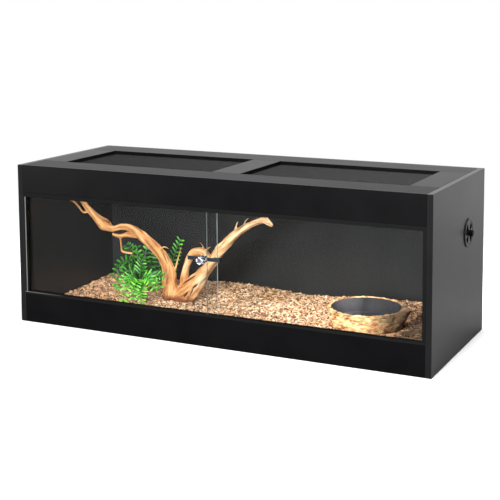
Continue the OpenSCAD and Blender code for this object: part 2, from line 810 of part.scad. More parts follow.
side_twig = [
    [-251, -50, 247, 5], [-264, -59, 242, 3.5], [-277, -62, 257, 4], [-289, -62, 268, 4],
    [-303, -64, 275, 3], [-316, -66, 275, 1.5]];
small_twigs = [
    [[-51, 8, 140, 4], [-32, 4, 149, 3], [-13, 0, 145, 1.5]],
    [[-8, 5, 70, 5], [3, 5, 90, 4], [10, 5, 115, 3], [18, 5, 139, 2.6], [22, 4, 155, 1.5]],
    [[86, 21, 148, 5], [73, 25, 166, 2.2]],
    [[92, 17, 144, 5], [112, 16, 159, 2.2]],
    [[198, -5, 205, 5], [203, -8, 225, 3.6], [211, -10, 246, 2.6]],
    [[224, -8, 225, 4], [230, 0, 246, 2.8], [238, 4, 254, 2.2]]];
branches = concat([left_branch, right_trunk, arch, root, leg, prong, hanging_twig, side_twig], small_twigs);

module wood_solid(grow = 0) {
    translate([wood_x, 0, bed_z]) for (b = branches) for (i = [0 : len(b) - 2]) hull() {
        knot(b[i], grow);
        knot(b[i + 1], grow);
    }
}

module knot(p, grow) { translate([p.x, p.y, p.z]) sphere(r = p[3] + grow, $fn = 10); }

module driftwood() {
    color("#c98f52") difference() {
        wood_solid();
        translate([0, 0, seat_gap]) bed_solid();
    }
}

// Ferns: tips of the fronds as [x, y, height, lift of the arch]
large_fronds = [
    [-189, -30, 51, 110], [-161, -60, 31, 80], [-135, -85, 33, 50], [-91, -130, 14, 75],
    [-66, -118, 20, 55], [-30, -127, 14, 20], [-29, -60, 40, 50], [-14, -55, 42, 55],
    [-10, -42, 78, 12], [-178, 30, 139, 55], [-123, 0, 144, 5], [-103, 25, 138, 5],
    [-80, -42, 118, 5], [-160, 55, 66, 40], [-105, 70, 80, 35]];
rear_fronds = [
    [-3, 45, 166, 12], [-100, 55, 140, 12], [-120, 80, 100, 25], [-128, 102, 64, 30],
    [-72, 125, 60, 30], [-100, 40, 60, 30]];
frond_w = 36;
frond_t = 2;
frond_steps = 6;

function unit(v) = v / norm(v);
function frond_point(c, tip, t) = let (
    top = c + 0.45 * ([tip.x, tip.y, tip.z] - c) + [0, 0, tip[3]])
    pow(1 - t, 2) * c + 2 * t * (1 - t) * top + t * t * [tip.x, tip.y, tip.z];
function frond_width(t) = max(2, frond_w * (t < 0.3 ? t / 0.3 : sqrt(max(0, (1 - t) / 0.7))));

// One flat slice across a frond
module frond_slice(c, tip, t) {
    along = unit(frond_point(c, tip, t + 0.02) - frond_point(c, tip, t - 0.02));
    across = unit(cross(along, [0, 0, 1]) + [0.001, 0, 0]);
    up = cross(across, along);
    p = frond_point(c, tip, t);
    multmatrix([
        [across.x, along.x, up.x, p.x], [across.y, along.y, up.y, p.y],
        [across.z, along.z, up.z, p.z], [0, 0, 0, 1]])
        cube([frond_width(t), 0.4, frond_t], center = true);
}

module fern(crown, tips) {
    difference() {
        translate([wood_x, 0, bed_z]) {
            for (tip = tips) for (i = [0 : frond_steps - 1]) hull() {
                frond_slice(crown, tip, i / frond_steps);
                frond_slice(crown, tip, (i + 1) / frond_steps);
            }
            hull() {
                translate([crown.x, crown.y, -8]) sphere(r = 9, $fn = 10);
                translate([crown.x, crown.y, crown.z]) sphere(r = 5, $fn = 10);
            }
        }
        translate([0, 0, seat_gap]) bed_solid();
    }
}

module large_fern() {
    color("#3fae2f") difference() {
        fern(fern_crown, large_fronds);
        wood_solid(1);
    }
}

module rear_fern() { color("#3fae2f") fern(rear_fern_crown, rear_fronds); }

// A round block of the bowl, widening a little upwards
module bowl_block(r) {
    rotate_extrude() polygon([
        [0, 0], [r - bowl_base_taper - 3, 0], [r - bowl_base_taper, 3], [r, bowl_h - 4],
        [r - 2, bowl_h], [0, bowl_h]]);
}

module water_bowl() {
    r = (bowl_d - bowl_step) / 2;
    hollow_r = r - bowl_wall;
    color("#a9875a") translate([bowl_x, bowl_y, bed_z + seat_gap]) difference() {
        union() {
            translate([-bowl_step / 2, 0, 0]) bowl_block(r);
            translate([bowl_d / 2 - bowl_step_r, 0, 0]) bowl_block(bowl_step_r);
        }
        translate([-bowl_step / 2, 0, 0]) rotate_extrude() polygon([
            [0, bowl_floor], [hollow_r - 16, bowl_floor], [hollow_r - 10, bowl_floor + 4],
            [hollow_r - 2, bowl_h - 3], [hollow_r, bowl_h + eps], [0, bowl_h + eps]]);
    }
}

left_side_panel();
right_side_panel();
base_panel();
back_panel();
kick_board();
front_fascia();
top_front_rail();
top_rear_rail();
top_left_rail();
top_centre_rail();
top_right_rail();
left_screen();
right_screen();
left_screen_trim();
right_screen_trim();
screen_screws();
back_screws();
cam_fittings();
cam_bolts();
dowels();
bottom_track();
top_track();
left_channel();
right_channel();
left_glass_door();
right_glass_door();
lock_bar();
lock_barrel();
lock_plug();
lock_pawl();
left_vent_body();
left_vent_shutter();
left_vent_knob();
left_vent_ring();
right_vent_body();
right_vent_shutter();
right_vent_knob();
right_vent_ring();
substrate();
driftwood();
large_fern();
rear_fern();
water_bowl();
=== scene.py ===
import math
import random

import bpy
import numpy as np
from mathutils import Euler, Matrix, Vector


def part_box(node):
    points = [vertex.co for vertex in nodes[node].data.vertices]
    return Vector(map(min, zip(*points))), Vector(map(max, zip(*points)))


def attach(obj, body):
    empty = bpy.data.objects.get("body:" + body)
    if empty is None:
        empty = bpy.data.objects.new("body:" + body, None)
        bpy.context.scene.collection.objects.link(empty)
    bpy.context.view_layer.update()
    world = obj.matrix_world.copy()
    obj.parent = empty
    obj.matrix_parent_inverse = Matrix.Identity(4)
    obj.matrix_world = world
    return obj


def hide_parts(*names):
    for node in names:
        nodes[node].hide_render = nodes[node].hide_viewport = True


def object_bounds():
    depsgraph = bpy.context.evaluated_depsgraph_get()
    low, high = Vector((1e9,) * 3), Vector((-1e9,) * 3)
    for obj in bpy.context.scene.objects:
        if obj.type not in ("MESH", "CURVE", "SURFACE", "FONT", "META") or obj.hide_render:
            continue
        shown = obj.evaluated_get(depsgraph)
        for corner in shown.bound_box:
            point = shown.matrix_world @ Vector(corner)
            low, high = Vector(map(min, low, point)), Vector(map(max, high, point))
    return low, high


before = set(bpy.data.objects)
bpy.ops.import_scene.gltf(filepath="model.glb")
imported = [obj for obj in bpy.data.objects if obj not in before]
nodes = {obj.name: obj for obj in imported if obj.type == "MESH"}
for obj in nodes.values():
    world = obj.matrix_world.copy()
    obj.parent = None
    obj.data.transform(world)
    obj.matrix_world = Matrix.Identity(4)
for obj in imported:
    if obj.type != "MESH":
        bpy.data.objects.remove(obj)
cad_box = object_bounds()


# ---- boards ------------------------------------------------------------------------
# Sixteen millimetre chipboard in a satin black laminate, cut square, with a fine
# pressed grain. Cam fittings and dowels hold the panels and the five top rails.

MM = 0.001
GRAIN_ALONG_X = (0.12, 1, 1)
GRAIN_ALONG_Y = (1, 0.12, 1)
FACES_ENDWISE = 0.5


class Value:
    """A number or colour in a material. Sums, products and comparisons add Math nodes."""

    def __init__(self, recipe, socket):
        self.recipe = recipe
        self.socket = socket

    def maths(self, operation, first, second):
        return self.recipe.add("Math", {"operation": operation}, {0: first, 1: second})

    def __add__(self, other):
        return self.maths("ADD", self, other)

    __radd__ = __add__

    def __sub__(self, other):
        return self.maths("SUBTRACT", self, other)

    def __rsub__(self, other):
        return self.maths("SUBTRACT", other, self)

    def __mul__(self, other):
        return self.maths("MULTIPLY", self, other)

    __rmul__ = __mul__

    def __gt__(self, other):
        return self.maths("GREATER_THAN", self, other)

    def clear(self):
        """The value held between 0 and 1."""
        return self.recipe.add("Clamp", {}, {0: self})


class Recipe:
    """A finish, written as the nodes of one material or sky."""

    def __init__(self, name, library=bpy.data.materials):
        self.owner = library.new(name)
        self.owner.use_nodes = True
        self.tree = self.owner.node_tree
        self.tree.nodes.clear()

    def add(self, kind, settings, inputs, out=0):
        """Adds a node, its settings and stops first and then its sockets. Gives an output."""
        node = self.tree.nodes.new("ShaderNode" + kind)
        for key, setting in settings.items():
            if key == "stops":
                self.set_stops(node.color_ramp, setting)
            else:
                setattr(node, key, setting)
        for key, given in inputs.items():
            if isinstance(given, Value):
                self.tree.links.new(given.socket, node.inputs[key])
            else:
                node.inputs[key].default_value = given
        return Value(self, node.outputs[out])

    def set_stops(self, ramp, stops):
        while len(ramp.elements) < len(stops):
            ramp.elements.new(0.5)
        for element, (place, shade) in zip(ramp.elements, stops):
            element.position = place
            element.color = shade

    def place(self, scale=(1, 1, 1)):
        spot = self.add("TexCoord", {}, {}, "Object")
        return self.add("Mapping", {}, {"Vector": spot, "Scale": scale})

    def noise(self, place, scale, detail=3, distortion=0):
        return self.add("TexNoise", {}, {
            "Vector": place, "Scale": scale, "Detail": detail, "Distortion": distortion})

    def reading(self, name, out="Fac"):
        """What a mesh keeps under a name for each of its points."""
        return self.add("Attribute", {"attribute_name": name}, {}, out)

    def part(self, vector, axis):
        return self.add("SeparateXYZ", {}, {0: vector}, axis)

    def facing(self, axis):
        """How far the surface looks along an axis, from -1 to 1."""
        return self.part(self.add("TexCoord", {}, {}, "Normal"), axis)

    def fade(self, value, start, end, at_start, at_end):
        """One figure before the start of a range, another past its end, and even between them."""
        return self.add("MapRange", {}, {0: value, 1: start, 2: end, 3: at_start, 4: at_end})

    def ramp(self, value, stops):
        return self.add("ValToRGB", {"stops": stops}, {"Fac": value})

    def blend(self, share, first, second):
        return self.add("Mix", {"data_type": "RGBA"}, {0: share, 6: first, 7: second}, 2)

    def bump(self, height, depth, strength=1.0):
        return self.add("Bump", {}, {"Height": height, "Distance": depth, "Strength": strength})

    def surface(self, **sockets):
        names = {key.replace("_", " ").title(): given for key, given in sockets.items()}
        fixed = {"Ior": "IOR", "Specular Ior Level": "Specular IOR Level"}
        return self.add("BsdfPrincipled", {}, {fixed.get(k, k): v for k, v in names.items()})

    def finish(self, shader, kind="Material"):
        output = self.tree.nodes.new("ShaderNodeOutput" + kind)
        self.tree.links.new(shader.socket, output.inputs["Surface"])
        return self.owner


def grey(level):
    return (level, level, level, 1)


def colour(red, green, blue):
    """A paint-chart colour, 0 to 255, as the linear values that a shader takes."""
    def linear(part):
        part /= 255
        return part / 12.92 if part < 0.04045 else ((part + 0.055) / 1.055) ** 2.4
    return (linear(red), linear(green), linear(blue), 1)


def dress(names, material):
    for name in names:
        nodes[name].data.materials.clear()
        nodes[name].data.materials.append(material)


def laminate(name, grain_scale, shine, edge_shine=None, black=9):
    """Satin laminate around one level of black, with or without a duller band on its edges. A black
    above the default is painted light.
    """
    recipe = Recipe(name)
    pores = recipe.noise(recipe.place(grain_scale), 900, 4)
    haze = recipe.noise(recipe.place(), 9, 4)
    base = recipe.ramp(haze, [
        (0.3, colour(black - 2, black - 2, black - 1)),
        (0.75, colour(black + 2, black + 2, black + 3))])
    relief = recipe.bump(pores, 0.03 * MM, 0.08)
    face = recipe.surface(
        base_color=base, roughness=0.26 + 0.06 * haze, ior=shine, normal=relief)
    if edge_shine is None:
        return recipe.finish(face)
    banding = recipe.surface(
        base_color=base, roughness=0.36 + 0.06 * haze, ior=edge_shine, normal=relief)
    endwise = recipe.facing("Y")
    return recipe.finish(recipe.add("MixShader", {}, {
        0: endwise * endwise > FACES_ENDWISE, 1: face, 2: banding}))


dress(["base_panel", "front_fascia", "top_rear_rail"],
    laminate("laminate_along_x", GRAIN_ALONG_X, shine=1.1))
dress(["kick_board", "top_front_rail"],
    laminate("laminate_front", GRAIN_ALONG_X, shine=1.075))
dress(["top_left_rail", "top_centre_rail", "top_right_rail"],
    laminate("laminate_along_y", GRAIN_ALONG_Y, shine=1.12))
# Painted light: the side panels and the back panel get a lighter black than the other boards, so
# these walls read brighter.
dress(["left_side_panel", "right_side_panel"],
    laminate("laminate_upright_painted_lighter", GRAIN_ALONG_Y, shine=1.29, edge_shine=1.06, black=22))
dress(["back_panel"],
    laminate("laminate_backing_painted_lighter", GRAIN_ALONG_X, shine=1.26, black=41))


# ---- fasteners ---------------------------------------------------------------------
# Zinc-plated cams, bolts and screws, and plain beech dowels. Only the faces of the cams
# and the heads of the screws show, from inside, from below and from behind.

recipe = Recipe("zinc_plate")
spangle = recipe.add("TexVoronoi", {}, {"Vector": recipe.place(), "Scale": 700}, "Distance")
dress(["screen_screws", "back_screws", "cam_fittings", "cam_bolts", "lock_pawl"],
    recipe.finish(recipe.surface(
        base_color=recipe.ramp(spangle, [(0, colour(150, 152, 156)), (1, colour(190, 192, 196))]),
        metallic=1.0, roughness=0.3 + 0.15 * spangle,
        normal=recipe.bump(spangle, 0.05 * MM))))

recipe = Recipe("beech")
fibre = recipe.noise(recipe.place((1, 12, 12)), 90, 4)
dress(["dowels"], recipe.finish(recipe.surface(
    base_color=recipe.ramp(fibre, [(0.3, colour(190, 150, 105)), (0.7, colour(222, 188, 142))]),
    roughness=0.6 + 0.1 * fibre, normal=recipe.bump(fibre, 0.1 * MM))))


# ---- screens and trim --------------------------------------------------------------
# Coated wire mesh in the two openings of the top, held up in a rebate by four plastic
# strips and twelve screws each. Every wire is modelled, so light falls through.

MESH_PITCH = 2.2 * MM
WIRE = 0.5 * MM
WIRE_SIDES = 5
WEAVE_LIFT = 0.4 * WIRE

recipe = Recipe("coated_wire")
coat = recipe.noise(recipe.place(), 600, 3)
coated_wire = recipe.finish(recipe.surface(
    base_color=recipe.ramp(coat, [(0.3, colour(14, 14, 15)), (0.7, colour(24, 24, 25))]),
    roughness=0.5 + 0.1 * coat, specular_ior_level=0.2,
    normal=recipe.bump(coat, 0.05 * MM)))


def new_object(name, made=None):
    """Names the object that was just made, and moves its place into its mesh."""
    piece = made or bpy.context.object
    piece.name = name
    piece.data.name = name
    bpy.context.view_layer.update()
    piece.data.transform(piece.matrix_world)
    piece.matrix_world = Matrix.Identity(4)
    bpy.ops.object.select_all(action="DESELECT")
    return piece


def apply_modifiers(piece):
    bpy.context.view_layer.objects.active = piece
    for modifier in list(piece.modifiers):
        bpy.ops.object.modifier_apply(modifier=modifier.name)


def wires(along, across, length, width, middle):
    """A row of straight wires that run along one axis and repeat across the other."""
    count = int(width / MESH_PITCH)
    bpy.ops.mesh.primitive_cylinder_add(vertices=WIRE_SIDES, radius=WIRE / 2, depth=length)
    row = bpy.context.object
    row.rotation_euler[1 - along] = math.pi / 2
    start = middle.copy()
    start[across] -= (count - 1) * MESH_PITCH / 2
    row.location = start
    row = new_object("wire_row")
    array = row.modifiers.new("rows", "ARRAY")
    array.use_relative_offset = False
    array.use_constant_offset = True
    step = Vector((0, 0, 0))
    step[across] = MESH_PITCH
    array.constant_offset_displace = step
    array.count = count
    apply_modifiers(row)
    return row


def join(parts, name):
    bpy.ops.object.select_all(action="DESELECT")
    for part in parts:
        part.select_set(True)
    bpy.context.view_layer.objects.active = parts[0]
    bpy.ops.object.join()
    return new_object(name, parts[0])


bpy.ops.object.select_all(action="DESELECT")
for side in ("left", "right"):
    low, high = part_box(side + "_screen")
    size = high - low
    middle = (low + high) / 2
    over = Vector((0, 0, WEAVE_LIFT))
    weave = join([
        wires(0, 1, size.x, size.y, middle + over),
        wires(1, 0, size.y, size.x, middle - over)], side + "_wire_mesh")
    weave.data.materials.append(coated_wire)
    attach(weave, "cabinet")
    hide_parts(side + "_screen")


# ---- tracks, channels and trim strips ----------------------------------------------
# Black extruded plastic: E-shaped tracks above and below the doors, the same profile
# upright on the side panels, and flat strips under the screens.

PLASTIC_BLACK = 0.003


def moulded(name, tone, roughness, texture_scale, shine=1.12):
    recipe = Recipe(name)
    leather = recipe.noise(recipe.place(), texture_scale, 3)
    smears = recipe.noise(recipe.place(), 30, 2)
    return recipe.finish(recipe.surface(
        base_color=recipe.blend(smears, grey(tone * 0.8), grey(tone * 1.2)),
        roughness=roughness + 0.1 * smears, ior=shine,
        normal=recipe.bump(leather, 0.06 * MM, 0.6)))


dress(["top_track", "right_channel", "left_screen_trim", "right_screen_trim"],
    moulded("extruded_plastic", PLASTIC_BLACK, roughness=0.5, texture_scale=1200))


def painted_lip_highlight(name, axis, lip, behind, tone, fade_from, fade_to):
    """Extruded plastic with a painted highlight on its front lip, grey where light catches it.

    The lip lies past one level of an axis and in front of another, and the painted highlight
    goes from its tone to plain plastic between two places along X.
    """
    recipe = Recipe(name)
    spot = recipe.place()
    past = recipe.part(spot, axis) > lip
    in_front = 1 - (recipe.part(spot, "Y") > behind)
    streaks = recipe.noise(recipe.place((0.3, 1, 0.3)), 60, 3)
    lip_highlight = recipe.fade(recipe.part(spot, "X"), fade_from, fade_to, tone, PLASTIC_BLACK)
    lip_highlight_grey = recipe.blend(lip_highlight * (0.6 + 0.8 * streaks), grey(0), grey(1))
    return recipe.finish(recipe.surface(
        base_color=recipe.blend(past * in_front, grey(PLASTIC_BLACK), lip_highlight_grey),
        roughness=0.45 + 0.1 * streaks, ior=1.15, normal=recipe.bump(streaks, 0.05 * MM, 0.5)))


TRACK_LIP = Vector((0, 3, 1.6)) * MM
TRACK_HIGHLIGHT_END = -0.45
CHANNEL_LIP = Vector((2.6, 2, 0)) * MM
track_low, track_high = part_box("bottom_track")
channel_low, channel_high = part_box("left_channel")
# Painted highlight: the lips of the bottom track and the left channel are grey, fading to black
# along the track.
dress(["bottom_track"], painted_lip_highlight(
    "track_painted_highlight", "Z", track_high.z - TRACK_LIP.z, track_low.y + TRACK_LIP.y,
    0.12, cad_box[0][0], TRACK_HIGHLIGHT_END))
dress(["left_channel"], painted_lip_highlight(
    "channel_painted_highlight", "X", channel_high.x - CHANNEL_LIP.x, channel_low.y + CHANNEL_LIP.y,
    0.09, 0, 1))


# ---- glass doors -------------------------------------------------------------------
# Two panes of four millimetre float glass. The faces are clear, with the left pane tinted
# darker as painted shade on what lies behind it. The ground edges look pale green against
# the dark cabinet: partly their own frosted tone, partly painted light, paler on the left pane.

FACES_FLATWISE = 0.9


def float_glass(name, shine, tint_and_painted_shade, dark_edge, light_edge):
    """Clear faces, front and rear, and ground edges between two tones."""
    recipe = Recipe(name)
    flatwise = recipe.facing("Y")
    edge = 1 - (flatwise * flatwise > FACES_FLATWISE)
    gloss = recipe.add("BsdfGlossy", {}, {"Color": grey(1), "Roughness": 0.015})
    clear = recipe.add("BsdfTransparent", {}, {"Color": tint_and_painted_shade})
    pane = recipe.add("MixShader", {}, {
        0: recipe.add("Fresnel", {}, {"IOR": shine}), 1: clear, 2: gloss})
    scratches = recipe.noise(recipe.place((1, 1, 0.1)), 900, 2)
    ground = recipe.surface(
        base_color=recipe.ramp(scratches, [(0.3, dark_edge), (0.8, light_edge)]),
        roughness=0.4, ior=1.2)
    return recipe.finish(recipe.add("MixShader", {}, {0: edge, 1: pane, 2: ground}))


# Painted shade and light: the left pane's darker tint and its paler edges.
dress(["left_glass_door"], float_glass(
    "left_float_glass", shine=1.18, tint_and_painted_shade=(0.93, 0.945, 0.94, 1),
    dark_edge=colour(140, 152, 152), light_edge=colour(176, 190, 190)))
dress(["right_glass_door"], float_glass(
    "right_float_glass", shine=1.06, tint_and_painted_shade=(0.98, 0.99, 0.985, 1),
    dark_edge=colour(90, 98, 100), light_edge=colour(120, 130, 132)))


# ---- lock --------------------------------------------------------------------------
# A ratchet lock for sliding glass: a dark notched bar hooked round the rear door, and a
# chromed barrel that slides on it, with a turning plug and its key slot.

def plated(name, stops, roughness, patch_scale, metal=1.0):
    """Bright plate with patches of the given tones along its axis: painted reflections on the
    chrome and nickel, the bar's own dark tones on the steel.
    """
    recipe = Recipe(name)
    brushing = recipe.noise(recipe.place((1, 1, 30)), 300, 3)
    patch_tones_and_reflections = recipe.noise(recipe.place((1, 0.35, 1)), patch_scale, 2, 0.8)
    return recipe.finish(recipe.surface(
        base_color=recipe.ramp(patch_tones_and_reflections, stops), metallic=metal, roughness=roughness + 0.06 * patch_tones_and_reflections,
        normal=recipe.bump(brushing, 0.02 * MM, 0.3)))


# Painted reflections: the barrel and the plug are clouded dark and bright, standing in for what
# they would mirror.
dress(["lock_barrel"], plated("chrome_plate", [
    (0.45, colour(14, 16, 22)), (0.5, colour(130, 138, 150)), (0.54, colour(240, 244, 250))],
    roughness=0.1, patch_scale=190, metal=0.6))
dress(["lock_plug"], plated("nickel_painted_reflections", [
    (0.4, colour(14, 15, 18)), (0.62, colour(150, 154, 162))],
    roughness=0.2, patch_scale=300, metal=0.7))
dress(["lock_bar"], plated("dark_spring_steel", [
    (0.3, colour(38, 41, 47)), (0.7, colour(62, 67, 76))],
    roughness=0.35, patch_scale=220))


# ---- vents -------------------------------------------------------------------------
# A moulded black vent through each side panel: a flange and grille outside, a shutter
# behind it that the middle knob turns, and a flat ring inside.

dress([side + part for side in ("left_", "right_") for part in ("vent_body", "vent_ring")],
    moulded("vent_plastic", 2 * PLASTIC_BLACK, roughness=0.28, texture_scale=1500, shine=1.32))
dress([side + part for side in ("left_", "right_") for part in ("vent_shutter", "vent_knob")],
    moulded("knob_plastic", PLASTIC_BLACK, roughness=0.5, texture_scale=1500))


# ---- wood-chip bed -----------------------------------------------------------------
# Loose beech chips, some of them dark with bark, poured over the base. The bed is an
# uneven ground of fine stuff, and thousands of single chips lie on it.

bed_low, bed_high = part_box("substrate")
bowl_low, bowl_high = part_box("water_bowl")
base_top = bed_low.z
BED_DEPTH = 30 * MM
BED_WAVE = 4
GROUND_SINK = 1.5 * MM
GROUND_SQUARES = (240, 90)
BOWL_PAD = 8 * MM
BOWL_SLOPE = 60 * MM
BOWL_STEP = 18 * MM
STEP_RADIUS = 45 * MM
bed_top = base_top + BED_DEPTH
bowl_middle = (bowl_low + bowl_high) / 2
bowl_radius = (bowl_high.x - bowl_low.x) / 2
block_radius = bowl_radius - BOWL_STEP / 2
block_x = bowl_middle.x - BOWL_STEP / 2
step_x = bowl_high.x - STEP_RADIUS


def smooth(t):
    held = np.clip(t, 0, 1)
    return held * held * (3 - 2 * held)


def bed_level(x, y):
    """Height of the bed at x and y: the same waves, heaps and dip as the solid bed has."""
    mm_x, mm_y = x / MM, y / MM
    wall_x, from_back = bed_high.x / MM, mm_y - bed_high.y / MM
    wave_1 = np.sin(np.radians(mm_x * 0.8 + 30)) * np.cos(np.radians(mm_y * 1.1))
    wave_2 = 0.5 * np.sin(np.radians(mm_x * 1.7 - mm_y * 1.3))
    right_heap = 12 * np.exp(-((mm_x - wall_x + 150) / 170) ** 2 - (from_back / 90) ** 2)
    middle_heap = 7 * np.exp(-((mm_x + 110) / 90) ** 2 - (from_back / 70) ** 2)
    left_dip = 9 * np.exp(-((mm_x + wall_x) / 110) ** 2)
    relief = BED_WAVE * (wave_1 + wave_2) + right_heap + middle_heap - left_dip
    from_bowl = np.hypot(x - bowl_middle.x, y - bowl_middle.y) - bowl_radius - BOWL_PAD
    return bed_top + MM * relief * smooth(from_bowl / BOWL_SLOPE)


def crumble(x, y):
    """Small heaps and hollows that only the dressed bed has."""
    heaps = np.sin(x * 410 + 3 * np.sin(y * 230)) * np.cos(y * 370)
    return 1.1 * MM * (heaps + np.sin(x * 173 - y * 251))


def put_in_scene(name, data):
    piece = bpy.data.objects.new(name, data)
    bpy.context.scene.collection.objects.link(piece)
    return piece


def mesh_piece(name, points, faces, material, body, slot, *replaced):
    mesh = bpy.data.meshes.new(name)
    mesh.from_pydata([tuple(p) for p in points], [], faces)
    mesh.materials.append(material)
    piece = put_in_scene(name, mesh)
    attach(piece, body)
    if replaced:
        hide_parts(*replaced)
    return piece


def select_only(piece):
    """Makes one piece the only one that the operators act on."""
    bpy.ops.object.select_all(action="DESELECT")
    piece.select_set(True)
    bpy.context.view_layer.objects.active = piece


def start_edit(piece):
    select_only(piece)
    bpy.ops.object.mode_set(mode="EDIT")
    bpy.ops.mesh.select_all(action="SELECT")


def end_edit():
    """Turns all the faces outwards and goes back to object mode."""
    bpy.ops.mesh.select_all(action="SELECT")
    bpy.ops.mesh.normals_make_consistent(inside=False)
    bpy.ops.object.mode_set(mode="OBJECT")


def points_of(piece, key="co"):
    given = np.empty(3 * len(piece.data.vertices))
    piece.data.vertices.foreach_get(key, given)
    return given.reshape(-1, 3)


def move_points(piece, points):
    piece.data.vertices.foreach_set("co", points.ravel())
    piece.data.update()


def mark(piece, name, values, kind="FLOAT"):
    """Keeps a number or a vector for each point, for the material to read."""
    key = "vector" if kind == "FLOAT_VECTOR" else "value"
    kept = piece.data.attributes.new(name, kind, "POINT")
    kept.data.foreach_set(key, np.asarray(values, float).ravel())


CRUMBS_A_METRE = 330
recipe = Recipe("fine_chips")
crumb_place = recipe.place((1, 1, 2))
crumbs = recipe.add("TexVoronoi", {}, {"Vector": crumb_place, "Scale": CRUMBS_A_METRE}, "Color")
crumb_tone = recipe.add("SeparateColor", {}, {0: crumbs}, 0)
cracks = recipe.add("TexVoronoi", {}, {"Vector": crumb_place, "Scale": CRUMBS_A_METRE}, "Distance")
fine_chips = recipe.finish(recipe.surface(
    base_color=recipe.ramp(crumb_tone, [
        (0, colour(58, 36, 22)), (0.35, colour(136, 94, 60)),
        (0.7, colour(204, 154, 104)), (1, colour(240, 200, 150))]),
    roughness=0.85, normal=recipe.bump(cracks, 3 * MM)))

bpy.ops.mesh.primitive_grid_add(
    x_subdivisions=GROUND_SQUARES[0], y_subdivisions=GROUND_SQUARES[1], size=1)
bed = bpy.context.object
bed.scale = (*(bed_high - bed_low).xy, 1)
bed.location = (*((bed_low + bed_high) / 2).xy, 0)
bed = new_object("chip_bed")
ground = points_of(bed)
across, deep = ground[:, 0], ground[:, 1]
ground[:, 2] = bed_level(across, deep) + crumble(across, deep) - GROUND_SINK
move_points(bed, ground)
start_edit(bed)
bpy.ops.mesh.extrude_region_move(TRANSFORM_OT_translate={"value": (0, 0, -1)})
end_edit()
ground = points_of(bed)
ground[ground[:, 2] < 0, 2] = base_top
move_points(bed, ground)
bed.data.materials.append(fine_chips)
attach(bed, "cabinet")
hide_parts("substrate")

CHIPS_A_SIDE = 16000
CHIP_MARGIN = 5 * MM
recipe = Recipe("single_chips")
tone = recipe.reading("tone")
streaks = recipe.noise(recipe.place((1, 3, 1)), 350, 3)
single_chips = recipe.finish(recipe.surface(
    base_color=recipe.ramp((tone + 0.2 * streaks - 0.1).clear(), [
        (0, colour(44, 31, 24)), (0.18, colour(119, 86, 62)),
        (0.39, colour(210, 154, 112)), (0.68, colour(245, 202, 158)),
        (1, colour(253, 234, 208))]),
    roughness=0.75, normal=recipe.bump(streaks, 0.3 * MM)))

# One chip: a thin wedge with slanting broken ends, copied at random sizes and turns
bpy.ops.mesh.primitive_cube_add(size=1)
chip = bpy.context.object
chip_points = points_of(chip)
chip_points[:, 0] += 0.35 * chip_points[:, 1] * np.sign(chip_points[:, 0])
chip_points[:, 1] *= 1 - 0.45 * (chip_points[:, 0] > 0)
chip_points[:, 2] *= 1 - 0.5 * (chip_points[:, 0] > 0)
chip_faces = np.array([tuple(face.vertices) for face in chip.data.polygons])
chip_corners = len(chip_points)
bpy.data.objects.remove(chip)


def turned(points, axis, angle):
    """Every chip's points, turned about one axis by the chip's own angle."""
    first, second = [i for i in range(3) if i != axis]
    cosine, sine = np.cos(angle)[:, None], np.sin(angle)[:, None]
    result = points.copy()
    result[..., first] = cosine * points[..., first] - sine * points[..., second]
    result[..., second] = sine * points[..., first] + cosine * points[..., second]
    return result


def scatter_chips(name, x_from, x_to, seed):
    """Chips over one half of the bed, save under the bowl, with painted shade that makes them
    darker at the left, at the rear and right of the bowl.
    """
    chance = np.random.default_rng(seed)
    x = chance.uniform(x_from + CHIP_MARGIN, x_to - CHIP_MARGIN, CHIPS_A_SIDE)
    y = chance.uniform(bed_low.y + CHIP_MARGIN, bed_high.y - CHIP_MARGIN, CHIPS_A_SIDE)
    free = (np.hypot(x - block_x, y - bowl_middle.y) > block_radius - CHIP_MARGIN) \
        & (np.hypot(x - step_x, y - bowl_middle.y) > STEP_RADIUS - CHIP_MARGIN)
    x, y = x[free], y[free]
    count = len(x)
    length = (3 + 8 * chance.random(count) ** 1.7) * MM
    size = np.stack([length, length * chance.uniform(0.35, 0.8, count),
        chance.uniform(0.8, 1.8, count) * MM], 1)
    points = chip_points * size[:, None]
    for axis in (0, 1):
        points = turned(points, axis, chance.normal(0, 0.35, count))
    points = turned(points, 2, chance.uniform(0, 6.28, count))
    rise = crumble(x, y) + chance.uniform(-0.8, 1.6, count) * MM
    points += np.stack([x, y, bed_level(x, y) + rise], 1)[:, None]
    faces = chip_faces + chip_corners * np.arange(count)[:, None, None]
    chips = mesh_piece(name, points.reshape(-1, 3), faces.reshape(-1, 4).tolist(), single_chips,
        "cabinet", "wood_chips")
    # Painted shade: chips turn darker towards the left, the rear and right of the bowl.
    left_painted_shade = 0.3 * smooth((-0.22 - x) / 0.22)
    rear_painted_shade = 0.1 * smooth((y - 0.05) / 0.15)
    right_of_bowl_painted_shade = 0.85 * smooth((x - 0.43) / 0.04) * smooth((y + 0.18) / 0.05)
    tones = chance.random(count) * (1 - (left_painted_shade + rear_painted_shade + right_of_bowl_painted_shade))
    mark(chips, "tone", np.repeat(tones, chip_corners))


scatter_chips("left_chips", bed_low.x, 0, seed=7)
scatter_chips("right_chips", 0, bed_high.x, seed=11)


# ---- driftwood ---------------------------------------------------------------------
# A sand-blasted root with two long limbs and an arch between them. Its fibres twist
# along each limb, so the limbs are fluted, pale on the ridges and red in the grooves.

WOOD_FOOT = Vector((-235 * MM, 0, bed_top))

